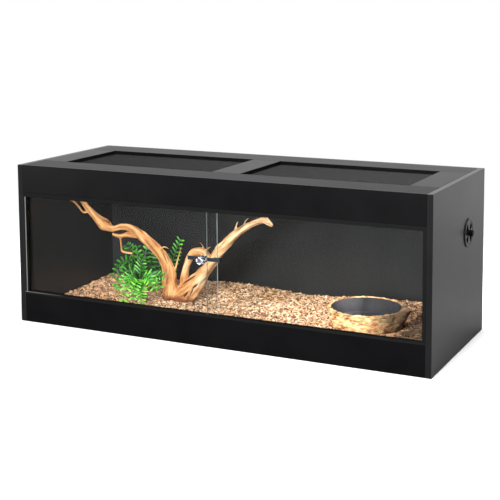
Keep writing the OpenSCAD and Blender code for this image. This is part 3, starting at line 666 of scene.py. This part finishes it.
# Each limb is a row of places from the foot, with its radius there, in millimetres
left_branch = [
    (-9, 4, 4, 29), (-13, 3, 26, 26), (-17, 4, 50, 23), (-18, 7, 76, 20.5),
    (-34, 10, 106, 17), (-57, 10, 133, 16), (-80, 4, 157, 15.5), (-109, -4, 181, 14.5),
    (-137, -12, 199, 11), (-160, -20, 202, 10), (-180, -27, 196, 8.5),
    (-195, -31, 198, 12), (-208, -34, 206, 18), (-224, -39, 219, 14),
    (-236, -44, 232, 10.5), (-248, -48, 247, 9.5), (-260, -54, 262, 8.5),
    (-269, -60, 280, 7.5), (-277, -64, 295, 6)]
right_trunk = [
    (20, 4, 8, 24), (40, 2, 26, 25), (61, 5, 50, 23), (84, 8, 75, 19.5),
    (105, 10, 101, 16), (129, 8, 131, 16), (149, 5, 158, 15.5), (171, 0, 180, 14),
    (196, -5, 203, 12.5), (226, -10, 225, 10.5), (256, -14, 242, 9),
    (281, -17, 254, 9), (297, -18, 257, 10), (312, -19, 249, 7.5), (322, -20, 244, 5)]
arch = [
    (24, 12, 34, 13), (26, 18, 74, 11), (34, 23, 107, 10.5), (46, 24, 131, 12.5),
    (67, 22, 141, 13), (88, 18, 139, 12), (112, 12, 124, 11)]
root = [
    (-8, 8, 6, 26), (10, 6, 6, 23), (30, -2, 6, 21), (48, -8, 5, 17), (54, -10, 3, 13)]
leg = [
    (88, 14, 66, 14), (76, 8, 40, 12), (62, 0, 14, 11), (55, -6, 0, 10)]
prong = [
    (-112, -6, 180, 11), (-137, -14, 180, 9), (-163, -23, 175, 6.5),
    (-178, -26, 177, 6), (-188, -28, 180, 4)]
hanging_twig = [
    (-164, -22, 173, 3.6), (-161, -22, 145, 3.4), (-159, -23, 132, 4),
    (-147, -23, 128, 4.5), (-122, -24, 127, 4)]
side_twig = [
    (-251, -50, 247, 5), (-264, -59, 242, 3.5), (-277, -62, 257, 4),
    (-289, -62, 268, 4), (-303, -64, 275, 3), (-316, -66, 275, 1.5)]
small_twigs = [
    [(-51, 8, 140, 4), (-32, 4, 149, 3), (-13, 0, 145, 1.5)],
    [(-8, 5, 70, 5), (3, 5, 90, 4), (10, 5, 115, 3), (18, 5, 139, 2.6), (22, 4, 155, 1.5)],
    [(86, 21, 147, 4.5), (84, 22, 157, 2.6), (78, 22, 165, 2), (69, 24, 170, 1.6)],
    [(92, 17, 144, 5), (103, 17, 155, 2.8), (115, 16, 161, 1.8)],
    [(198, -5, 205, 5), (203, -8, 225, 3.6), (211, -10, 246, 2.6)],
    [(224, -8, 225, 4), (230, 0, 246, 2.8), (238, 4, 254, 2.2)]]
limbs = [
    left_branch, right_trunk, arch, root, leg, prong, hanging_twig, side_twig] + small_twigs
STEPS_A_POINT = 6
SKIN_GRAIN = 1.9 * MM


def even_curve(points, steps):
    """Points on a smooth curve through all the given ones, with their radii."""
    given = np.array([points[0]] + points + [points[-1]], float)
    curve = []
    for i in range(1, len(given) - 2):
        a, b, c, d = given[i - 1:i + 3]
        for t in np.arange(steps) / steps:
            curve.append(0.5 * (2 * b + (c - a) * t + (2 * a - 5 * b + 4 * c - d) * t ** 2
                + (3 * b - a - 3 * c + d) * t ** 3))
    return np.array(curve + [given[-1]])


paths = [even_curve(limb, STEPS_A_POINT) for limb in limbs]
curve = bpy.data.curves.new("limb_cores", "CURVE")
curve.dimensions = "3D"
curve.bevel_depth = MM
curve.bevel_resolution = 4
curve.use_fill_caps = True
for path in paths:
    spline = curve.splines.new("POLY")
    spline.points.add(len(path) - 1)
    for point, (x, y, z, radius) in zip(spline.points, path):
        point.co = (*(WOOD_FOOT + Vector((x, y, z)) * MM), 1)
        point.radius = radius
select_only(put_in_scene("limb_cores", curve))
bpy.ops.object.convert(target="MESH")
wood = new_object("driftwood_root")
remesh = wood.modifiers.new("skin", "REMESH")
remesh.mode = "VOXEL"
remesh.voxel_size = SKIN_GRAIN
soften = wood.modifiers.new("soften", "SMOOTH")
soften.factor = 0.6
soften.iterations = 10
apply_modifiers(wood)

# Flutes: each point looks up the nearest place along a limb and its angle round it.
# A flute has its number round the limb, its sway and how fast it sways, its start and depth.
LIMB_SPACING = 400
TWIST_A_METRE = 9
FLUTES = [
    (3, 2.2, 31, 0, 0.5), (5, -1.7, 47, 1, 0.32), (11, 3, 60, 0, 0.2), (17, -2, 83, 0, 0.12)]
core = np.vstack([path[:, :3] for path in paths]) * MM + np.array(WOOD_FOOT)
radii = np.concatenate([path[:, 3] for path in paths]) * MM
strides = [np.linalg.norm(np.diff(path[:, :3], axis=0), axis=1) for path in paths]
along = np.concatenate([
    np.concatenate([[0], np.cumsum(stride)]) + LIMB_SPACING * i
    for i, stride in enumerate(strides)]) * MM
heading = np.vstack([np.gradient(path[:, :3], axis=0) for path in paths])
heading /= np.linalg.norm(heading, axis=1)[:, None]
side_way = np.cross(heading, (0, 1, 0))
side_way /= np.linalg.norm(side_way, axis=1)[:, None]
up_way = np.cross(side_way, heading)

verts = points_of(wood)
normals = points_of(wood, "normal")
BATCH = 4000
nearest = np.empty(len(verts), int)
for start in range(0, len(verts), BATCH):
    part = verts[start:start + BATCH]
    gap = np.linalg.norm(part[:, None] - core[None], axis=2) - radii
    nearest[start:start + BATCH] = gap.argmin(1)
offset = verts - core[nearest]
angle = np.arctan2((offset * up_way[nearest]).sum(1), (offset * side_way[nearest]).sum(1))
length = along[nearest] + (offset * heading[nearest]).sum(1)
girth = radii[nearest]
twist = angle + length * TWIST_A_METRE
flutes = sum(
    depth * np.sin(count * twist + sway * np.sin(length * pace) + turn)
    for count, sway, pace, turn, depth in FLUTES)
ridge = np.sign(flutes) * np.abs(flutes) ** 0.7
lumps = np.sin(verts[:, 0] * 130 + 2) * np.sin(verts[:, 2] * 150) * np.sin(verts[:, 1] * 170 + 1)
verts += normals * (girth * (0.075 * ridge + 0.08 * lumps) - 0.4 * MM)[:, None]

# Splits run into the front of the wood: start and end from its foot, half width and depth
SPLIT_WAY = np.array((-0.477, 0.845, -0.241))
SPLIT_REACH = 45 * MM
splits = [
    ((90, -22, 58), (74, -22, 46), 2.8, 9), ((59, -24, 33), (47, -24, 19), 3.2, 10),
    ((77, -24, 44), (67, -24, 26), 2.2, 7), ((35, -8, 51), (73, -8, 77), 2.4, 8),
    ((-29, -10, 134), (-13, -10, 102), 1.8, 5), ((-161, -22, 189), (-134, -22, 190), 2, 6),
    ((-204, -50, 223), (-184, -50, 218), 1.6, 4),
    ((156, -20, 167), (185, -28, 196), 1.5, 3), ((216, -30, 221), (249, -36, 248), 1.3, 2.5)]
hollow = np.zeros(len(verts))
for start, end, half_width, depth in splits:
    from_start = verts - np.array(start) * MM - np.array(WOOD_FOOT)
    way = (np.array(end) - start) * MM
    in_depth = from_start @ SPLIT_WAY
    flat = from_start - in_depth[:, None] * SPLIT_WAY
    flat_way = way - (way @ SPLIT_WAY) * SPLIT_WAY
    share = np.clip(flat @ flat_way / (flat_way @ flat_way), 0, 1)
    gap = np.linalg.norm(flat - share[:, None] * flat_way, axis=1)
    narrowing = 0.35 + 0.65 * np.sin(math.pi * np.clip(share, 0.04, 0.96))
    inside = smooth(1.25 - gap / (half_width * narrowing * MM))
    inside *= (np.abs(in_depth) < SPLIT_REACH) & (normals @ SPLIT_WAY < -0.15)
    verts += SPLIT_WAY * (depth * MM * inside)[:, None]
    hollow = np.maximum(hollow, inside)
move_points(wood, verts)
fibre_place = np.stack([length, girth * np.cos(twist), girth * np.sin(twist)], 1)
mark(wood, "fibre", fibre_place, "FLOAT_VECTOR")
mark(wood, "ridge", ridge)
mark(wood, "hollow", hollow)

# Patches of the wood are paler or darker, partly its own tone and partly painted light and shade:
# each patch has its middle from the foot, its reach and how much paler it is
tone_and_light_patches = [
    ((-7, -22, 32), 20, 0.16), ((-11, -20, 83), 22, -0.16), ((49, -24, 21), 16, -0.20),
    ((36, 8, 92), 34, 0.34), ((101, 0, 56), 30, 0.4), ((203, -30, 197), 24, 0.14),
    ((257, -40, 248), 20, -0.14), ((76, -10, 147), 20, -0.08), ((-38, -12, 125), 22, -0.08),
    ((-187, -50, 219), 26, -0.34), ((-125, -30, 220), 26, 0.06)]
worn = sum(amount * smooth(1.3 - np.linalg.norm((verts - WOOD_FOOT) / MM - spot, axis=1) / reach)
    for spot, reach, amount in tone_and_light_patches)
mark(wood, "worn", worn)
select_only(wood)
bpy.ops.object.shade_smooth()

recipe = Recipe("blasted_driftwood")
fibre = recipe.reading("fibre", "Vector")
strands = recipe.noise(
    recipe.add("Mapping", {}, {"Vector": fibre, "Scale": (12, 220, 220)}), 1, 5, 0.4)
fine = recipe.noise(
    recipe.add("Mapping", {}, {"Vector": fibre, "Scale": (60, 900, 900)}), 1, 3)
patches = recipe.noise(recipe.place(), 16, 4, 0.5)
shade = (
    0.44 + recipe.reading("worn") + 0.17 * recipe.reading("ridge")
    + 0.9 * (strands - 0.5) + 0.5 * (fine - 0.5) + 0.8 * (patches - 0.47)).clear()
red_wood = recipe.ramp(shade, [
    (0, colour(84, 40, 18)), (0.25, colour(154, 94, 50)), (0.5, colour(196, 138, 82)),
    (0.75, colour(222, 172, 122)), (1, colour(244, 212, 178))])
pale_wood_ramp = recipe.ramp(shade, [
    (0, colour(116, 70, 42)), (0.25, colour(184, 140, 96)), (0.5, colour(226, 190, 146)),
    (0.75, colour(244, 218, 180)), (1, colour(254, 242, 222))])
# Towards the right the wood turns paler: partly its own tone, partly painted light.
spot = recipe.place()
paler_right_tone_and_light = recipe.fade(recipe.part(spot, "X"), -0.19, 0, 0, 0.9)
soil = recipe.fade(
    recipe.part(spot, "Z") + 0.012 * patches, bed_top + 14 * MM, bed_top + 24 * MM, 1, 0)
tan = recipe.blend(paler_right_tone_and_light, red_wood, pale_wood_ramp)
stained = recipe.blend(0.85 * soil, tan, colour(110, 50, 24))
# Painted shade: the splits are darkened to deep brown.
painted_split_shade = (0.9 * recipe.reading("hollow")).clear()
wood.data.materials.clear()
wood.data.materials.append(recipe.finish(recipe.surface(
    base_color=recipe.blend(painted_split_shade, stained, colour(48, 22, 12)),
    roughness=0.6 + 0.15 * strands, specular_ior_level=0.35,
    normal=recipe.bump(0.6 * strands + 0.4 * fine, 1.2 * MM, 0.9))))
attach(wood, "cabinet")
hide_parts("driftwood")


# ---- ferns -------------------------------------------------------------------------
# Moulded ferns: every frond is an arching stalk with pairs of narrow, veined leaflets
# that shrink towards the tip. The large one stands left of the root, a small one behind.

FERN_CROWN = Vector((-110, -8, 40))
REAR_CROWN = Vector((-60, 60, 32))

# Each frond's tip from the wood's foot, and how high its arch rises, in millimetres
large_fronds = [
    (-189, -30, 51, 110), (-161, -60, 31, 80), (-135, -85, 33, 50),
    (-91, -130, 14, 75), (-66, -118, 20, 55), (-30, -127, 14, 20), (-29, -60, 40, 50),
    (-14, -55, 42, 55), (-10, -42, 78, 12), (-178, 30, 139, 55), (-123, 0, 144, 5),
    (-103, 25, 138, 5), (-80, -42, 118, 5), (-160, 55, 66, 40), (-105, 70, 80, 35)]
rear_fronds = [
    (-3, 45, 166, 12), (-100, 55, 140, 12), (-120, 80, 100, 25), (-128, 102, 64, 30),
    (-72, 125, 60, 30), (-100, 40, 60, 30)]
LEAFLET_GAP = 14
LEAFLET_LENGTH = 24
LEAFLET_WIDTH = 5.8
LEAF_FACE = Vector((0.3, -0.75, 0.6))
LEAF_THICKNESS = 0.35 * MM
STALK_RADIUS = 1.7
STALK_POINTS = 30
ROOT_DEPTH = 8

recipe = Recipe("fern_leaf")
leaf_tone = recipe.reading("tone")
veins = recipe.noise(recipe.place(), 500, 3)
mottle = recipe.noise(recipe.place(), 60, 3)
fern_leaf = recipe.finish(recipe.surface(
    base_color=recipe.ramp((leaf_tone + 0.3 * (mottle - 0.5) + 0.1 * (veins - 0.5)).clear(), [
        (0, colour(4, 18, 5)), (0.3, colour(16, 66, 12)),
        (0.66, colour(68, 152, 26)), (1, colour(150, 222, 76))]),
    roughness=0.45, specular_ior_level=0.35,
    normal=recipe.bump(veins, 0.3 * MM)))

# One leaflet, a unit long and wide, folded along its vein and drooping at its tip
LEAF_PROFILE = [(0, 0.25), (0.1, 0.75), (0.3, 1), (0.6, 1), (0.85, 0.75), (0.96, 0.42), (1, 0.1)]
leaf_points = np.array([(t, w * half / 2, -0.25 * w * abs(half) - 0.5 * t * t)
    for t, w in LEAF_PROFILE for half in (-1, 0, 1)])
leaf_faces = [(3 * i + j, 3 * i + 3 + j, 3 * i + 4 + j, 3 * i + 1 + j)
    for i in range(len(LEAF_PROFILE) - 1) for j in range(2)]


def frond_curve(crown, tip, share):
    """A place on the arch from the crown to the tip, at a share of its way."""
    tip_point = Vector(tip[:3])
    top = crown + 0.45 * (tip_point - crown) + Vector((0, 0, tip[3]))
    return (1 - share) ** 2 * crown + 2 * share * (1 - share) * top + share ** 2 * tip_point


def fern(name, crown, tips, blades, replaced, seed):
    """One fern: its fronds, painted lighter in front and painted darker low at the back as light
    and shade, and its young blades.
    """
    random.seed(seed)
    points, faces, tones = [], [], []

    def place(part, part_faces, axes, spot, tone):
        faces.extend(tuple(len(points) + v for v in face) for face in part_faces)
        points.extend((part @ np.array(axes) + np.array(spot)) * MM + np.array(WOOD_FOOT))
        # Painted shade and light: each leaflet is darker at its base and lighter at its tip.
        tones.extend(tone + 0.35 * (part[:, 0] - 0.5))

    def frame_at(before, after):
        """Directions along and across a stalk, with the leaf's face turned to the front and up."""
        ahead = (after - before).normalized()
        across = ahead.cross(LEAF_FACE).normalized()
        return ahead, across, across.cross(ahead)

    for tip in tips:
        # Painted light and shade: fronds in front are lighter, those low at the back darker, and
        # leaflets lighter towards each frond's tip.
        shaded = float(smooth((tip[1] + 20) / 80) * smooth((150 - tip[2]) / 60))
        in_front = float(smooth((-20 - tip[1]) / 40) * smooth((110 - tip[2]) / 40))
        shade = random.uniform(0.18, 0.4) - 0.24 * shaded + 0.17 * in_front
        arc = [frond_curve(crown, tip, t / STALK_POINTS) for t in range(STALK_POINTS + 1)]
        reach = sum((b - a).length for a, b in zip(arc, arc[1:]))
        rooted = crown.lerp(arc[4], 0.3)
        rooted.z = -ROOT_DEPTH
        curve = [rooted.lerp(arc[0], t / 4) for t in range(4)] + arc
        last = len(curve) - 1
        pairs = int(reach / LEAFLET_GAP)
        stalk = [(math.cos(a), math.sin(a)) for a in (0.5, 2.6, 4.7)]
        ring_start = len(points)
        for i, spot in enumerate(curve):
            ahead, across, up = frame_at(curve[max(i - 1, 0)], curve[min(i + 1, last)])
            width = STALK_RADIUS * (1 - 0.65 * i / last)
            ring = np.array([spot + width * (c * across + s * up) for c, s in stalk])
            points.extend(ring * MM + np.array(WOOD_FOOT))
            tones.extend([shade + 0.1] * 3)
            if i:
                here, back = ring_start + 3 * i, ring_start + 3 * i - 3
                faces.extend(
                    (back + k, back + (k + 1) % 3, here + (k + 1) % 3, here + k) for k in range(3))
        for pair in range(2, pairs + 1):
            share = pair / (pairs + 0.4)
            spot = frond_curve(crown, tip, share)
            ahead, across, up = frame_at(
                frond_curve(crown, tip, share - 0.02), frond_curve(crown, tip, share + 0.02))
            swell = max(0.35, math.sin(math.pi * min(1, 0.15 + 0.85 * share) ** 0.9)) ** 0.5
            for side in (-1, 1):
                length = LEAFLET_LENGTH * swell * random.uniform(0.93, 1.06)
                out = (side * across + random.uniform(0.5, 0.62) * ahead
                    + random.uniform(0.02, 0.16) * up).normalized()
                flat = (ahead - ahead.dot(out) * out).normalized()
                lift = out.cross(flat)
                if lift.dot(up) < 0:
                    lift = -lift
                width = LEAFLET_WIDTH * random.uniform(0.92, 1.06)
                place(leaf_points, leaf_faces, [out * length, flat * width, lift * length * 0.45],
                    spot, shade + 0.2 * share + random.uniform(-0.18, 0.22))
    for start, tip, width in blades:
        out = Vector(tip) - Vector(start)
        ahead, across, up = frame_at(Vector(start), Vector(tip))
        # Painted shade: the heart blades are kept dark.
        place(leaf_points, leaf_faces, [out, across * width, up * out.length * 0.3], start,
            random.uniform(0.1, 0.35))
    piece = mesh_piece(name, points, faces, fern_leaf, "cabinet", "fern_leaf", replaced)
    mark(piece, "tone", tones)
    thicken = piece.modifiers.new("leaf", "SOLIDIFY")
    thicken.thickness = LEAF_THICKNESS
    apply_modifiers(piece)
    select_only(piece)
    bpy.ops.object.shade_smooth_by_angle(angle=0.8)


# Broad young blades in the large fern's heart: start, tip and width
heart_blades = [
    ((-112, -14, 20), (-126, -26, 84), 8), ((-108, -16, 24), (-112, -24, 100), 7),
    ((-106, -16, 22), (-92, -26, 80), 8), ((-114, -20, 18), (-134, -38, 52), 8),
    ((-110, -22, 16), (-106, -48, 46), 8), ((-104, -18, 14), (-86, -36, 48), 8),
    ((-128, -16, 82), (-124, -20, 124), 6), ((-108, -12, 84), (-112, -14, 116), 6)]
rear_blades = [
    ((-60, 56, 16), (-66, 48, 70), 12), ((-60, 58, 16), (-48, 50, 62), 11),
    ((-64, 56, 14), (-84, 48, 52), 12)]
fern("large_fern_plant", FERN_CROWN, large_fronds, heart_blades, "large_fern", seed=3)
fern("rear_fern_plant", REAR_CROWN, rear_fronds, rear_blades, "rear_fern", seed=5)


# ---- water bowl --------------------------------------------------------------------
# A round cast bowl with a step at one side: outside it is stacked ledges of yellow and
# brown stone with a broken rim, inside it is smooth slate. The slate has painted light at
# the left, and the stone has painted shade at the right.

BOWL_WALL = 10 * MM
BOWL_FLOOR = 10 * MM
BOWL_HEIGHT = bowl_high.z - bowl_low.z
BOWL_TAPER = 7 * MM
LEDGE = 10 * MM
SPIN_STEPS = 260
rim = block_radius - BOWL_WALL

outer = [(block_radius - BOWL_TAPER - 4 * MM, 0)]
outer += [(block_radius - BOWL_TAPER * (1 - t) - 1.2 * MM, t * (BOWL_HEIGHT - 2.5 * MM))
    for t in np.linspace(0.04, 1, 34)]
top = [(block_radius - share * BOWL_WALL, BOWL_HEIGHT - 1.5 * MM)
    for share in (0.22, 0.4, 0.6, 0.8, 0.97)]
inner = [(rim - 0.4 * MM, BOWL_HEIGHT - 3.5 * MM), (rim - 0.6 * MM, BOWL_HEIGHT - 4.2 * MM),
    (rim - 1.5 * MM, BOWL_HEIGHT - 9 * MM), (rim - 5 * MM, BOWL_HEIGHT - 24 * MM),
    (rim - 9.5 * MM, BOWL_FLOOR + 5 * MM), (rim - 16 * MM, BOWL_FLOOR + MM),
    (rim - 28 * MM, BOWL_FLOOR), (rim * 0.4, BOWL_FLOOR - 0.5 * MM), (0, BOWL_FLOOR - 0.5 * MM)]
profile = [(0, 0)] + outer + top + inner
mesh = bpy.data.meshes.new("stone_bowl")
mesh.from_pydata([(r, 0, z) for r, z in profile], [(i, i + 1) for i in range(len(profile) - 1)], [])
bowl = put_in_scene("stone_bowl", mesh)
start_edit(bowl)
bpy.ops.mesh.spin(steps=SPIN_STEPS, angle=2 * math.pi, center=(0, 0, 0), axis=(0, 0, 1))
bpy.ops.mesh.select_all(action="SELECT")
bpy.ops.mesh.remove_doubles(threshold=0.02 * MM)
end_edit()

verts = points_of(bowl)
turn = np.arctan2(verts[:, 1], verts[:, 0])
reach = np.hypot(verts[:, 0], verts[:, 1])
height = verts[:, 2]
stone_side = reach > rim - 0.5 * MM
on_top = stone_side & (height > BOWL_HEIGHT - 2 * MM)
on_wall = (reach > max(block_radius - BOWL_TAPER - 3 * MM, rim + MM)) & (height > 0.5 * MM)

# The step is a second, smaller round beside the block, blended into the wall
step_away = step_x - block_x
sideways = np.clip(step_away * np.sin(turn) / STEP_RADIUS, -1, 1)
step_edge = step_away * np.cos(turn) + STEP_RADIUS * np.sqrt(1 - sideways ** 2)
beyond = np.clip(np.where(np.cos(turn) > 0, step_edge - block_radius, 0), 0, None)
beyond *= np.abs(step_away * np.sin(turn)) < STEP_RADIUS
widen = beyond * np.clip((reach - rim - MM) / (BOWL_WALL - 3 * MM), 0, 1)

# Ledges: every layer of stone juts out by its own amount, with a dark joint under it
layer = height / LEDGE + 0.5 * np.sin(2 * turn + 1) + 0.25 * np.sin(5 * turn) \
    + 0.2 * np.sin(13 * turn + 2)
index = np.floor(layer)
in_layer = layer - index
jut = 0.7 * np.sin(5 * turn + 2.4 * index) + 0.5 * np.sin(13 * turn + 5.1 * index) \
    + 0.4 * np.sin(29 * turn + 3.3 * index)
joint = 1 - smooth(np.minimum(in_layer, 1 - in_layer) / 0.2)
joint *= smooth(0.6 + 1.2 * np.sin(7 * turn + 1.9 * np.round(layer)))
chipped = np.sin(turn * 23 + height * 900) * np.sin(turn * 37 - height * 500)
push = (1.5 * jut - 2.4 * joint + 0.5 * chipped - 1.4) * MM
broken = 0.55 * np.sin(turn * 9 + 1) + 0.5 * np.sin(turn * 17) + 0.5 * np.sin(turn * 31 + 2) \
    + 0.35 * np.sin(turn * 53)
widen += np.where(on_wall, push * np.clip((reach - rim) / BOWL_WALL, 0, 1), 0)
verts[:, 0] += np.cos(turn) * widen
verts[:, 1] += np.sin(turn) * widen
verts[on_top, 2] += (1.1 * MM * broken - 1.2 * MM + 0.7 * MM * jut)[on_top]
verts[:, 2] = np.minimum(verts[:, 2], BOWL_HEIGHT)
verts += np.array((block_x, bowl_middle.y, bowl_low.z))
move_points(bowl, verts)
mark(bowl, "stone", stone_side)
mark(bowl, "joint", joint)
mark(bowl, "jut", 0.5 + 0.5 * jut)
select_only(bowl)
bpy.ops.object.shade_smooth_by_angle(angle=0.6)

recipe = Recipe("stone_and_slate")
sharp_stone = recipe.reading("stone") > 0.5
grit = recipe.noise(recipe.place((1, 1, 2.5)), 80, 5, 0.6)
fine_grit = recipe.noise(recipe.place(), 420, 4)
weather = recipe.noise(recipe.place((1, 1, 2)), 34, 3, 0.4)
sand_tone = (
    0.3 * recipe.reading("jut") + 1.4 * (grit - 0.4) + 0.5 * (fine_grit - 0.5)
    + 1.6 * (weather - 0.38)).clear()
sand = recipe.ramp(sand_tone, [
    (0, colour(84, 50, 34)), (0.2, colour(158, 104, 70)), (0.38, colour(208, 154, 106)),
    (0.6, colour(232, 194, 138)), (1, colour(248, 226, 180))])
cut = recipe.blend((0.7 * recipe.reading("joint")).clear(), sand, colour(116, 62, 36))
cloud = recipe.noise(recipe.place(), 26, 4)
toward_right = recipe.part(recipe.place(), "X")
# Painted light: the slate turns lighter towards the left.
slate_left_painted_light = recipe.fade(
    toward_right + 0.06 * cloud, block_x - 0.7 * rim, block_x - 0.05 * rim, 0.8, 0)
slate = recipe.ramp((0.35 * cloud + slate_left_painted_light).clear(), [
    (0.1, colour(38, 36, 40)), (0.25, colour(50, 48, 52)), (0.9, colour(114, 111, 115))])
# Painted shade: the stone turns dark towards the right.
stone_right_painted_shade = recipe.fade(
    toward_right + 0.05 * weather, block_x + 0.7 * rim, block_x + 1.25 * rim, 0, 0.85)
bowl.data.materials.append(recipe.finish(recipe.surface(
    base_color=recipe.blend(sharp_stone, slate, recipe.blend(stone_right_painted_shade, cut, colour(74, 58, 46))),
    roughness=0.6 + 0.17 * sharp_stone + 0.1 * cloud, specular_ior_level=0.2,
    normal=recipe.bump(sharp_stone * (0.7 * grit + 0.3 * fine_grit), 2 * MM))))
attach(bowl, "bowl")
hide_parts("water_bowl")


# ---- studio ------------------------------------------------------------------------
# White floor under a white sky, a broad soft lamp in front and above, a small one low at
# the left and a broad one over the screens. The camera stands in front, past the right end.

FLOOR_SIZE = 40
FLOOR_DROP = 0.5 * MM
SKY_LIGHT = 0.5


def seen(recipe):
    """1 for what the camera sees, straight, mirrored or through glass, and 0 for other light."""
    rays = [recipe.add("LightPath", {}, {}, "Is " + kind + " Ray")
        for kind in ("Camera", "Glossy", "Transmission")]
    return (rays[0] + rays[1] + rays[2]).clear()


bpy.ops.mesh.primitive_plane_add(size=FLOOR_SIZE, location=(0, 0, -FLOOR_DROP))
studio_floor = new_object("studio_floor")
recipe = Recipe("white_floor")
away = recipe.add("VectorMath", {"operation": "LENGTH"}, {0: recipe.place()}, "Value")
far = recipe.fade(away, 1.0, 2.4, 0, 1)
bright = recipe.add("Emission", {}, {"Color": grey(1), "Strength": 1.0})
matt = recipe.add("BsdfDiffuse", {}, {"Color": recipe.blend(
    recipe.add("LightPath", {}, {}, "Is Camera Ray"), grey(0.35), grey(0.97))})
studio_floor.data.materials.append(recipe.finish(
    recipe.add("MixShader", {}, {0: far * seen(recipe), 1: matt, 2: bright})))

recipe = Recipe("studio_sky", bpy.data.worlds)
lighting = recipe.add("Background", {}, {"Color": grey(1), "Strength": SKY_LIGHT})
shown = recipe.add("Background", {}, {"Color": grey(1)})
bpy.context.scene.world = recipe.finish(
    recipe.add("MixShader", {}, {0: seen(recipe), 1: lighting, 2: shown}), "World")


def lamp(name, place, aim, size, power):
    bpy.ops.object.light_add(type="AREA", location=place)
    light = bpy.context.object
    light.name = name
    light.data.shape = "SQUARE"
    light.data.size = size
    light.data.energy = power
    light.rotation_euler = (Vector(aim) - Vector(place)).to_track_quat("-Z", "Y").to_euler()


lamp("front_lamp", (0.1, -2.6, 1.0), (0.1, 0, 0.2), size=1.1, power=150)
lamp("left_lamp", (-2.2, -2.4, 0.4), (-0.5, 0, 0.4), size=0.7, power=24)
lamp("top_lamp", (0.35, -0.05, 2.2), (0.15, 0, 0.1), size=1.2, power=88)

# 2.8 m in front and 0.9 m up, turned left and a little down
CAMERA_PLACE = (1.40395, -2.83583, 0.91148)
CAMERA_TURN = math.radians(26.17)
CAMERA_DIP = math.radians(6.36)
CAMERA_ROLL = math.radians(-0.33)
CAMERA_SHIFT = -0.25
FOCAL_SHARE = 1167.1 / 500
camera = put_in_scene("camera", bpy.data.cameras.new("camera"))
camera.data.sensor_width = 36
camera.data.lens = FOCAL_SHARE * camera.data.sensor_width
camera.data.shift_y = CAMERA_SHIFT
look = Euler((math.pi / 2 - CAMERA_DIP, 0, CAMERA_TURN)).to_matrix()
camera.matrix_world = Matrix.Translation(CAMERA_PLACE) @ (
    look @ Matrix.Rotation(CAMERA_ROLL, 3, "Z")).to_4x4()
bpy.context.scene.camera = camera
bpy.context.scene.view_settings.view_transform = "Standard"
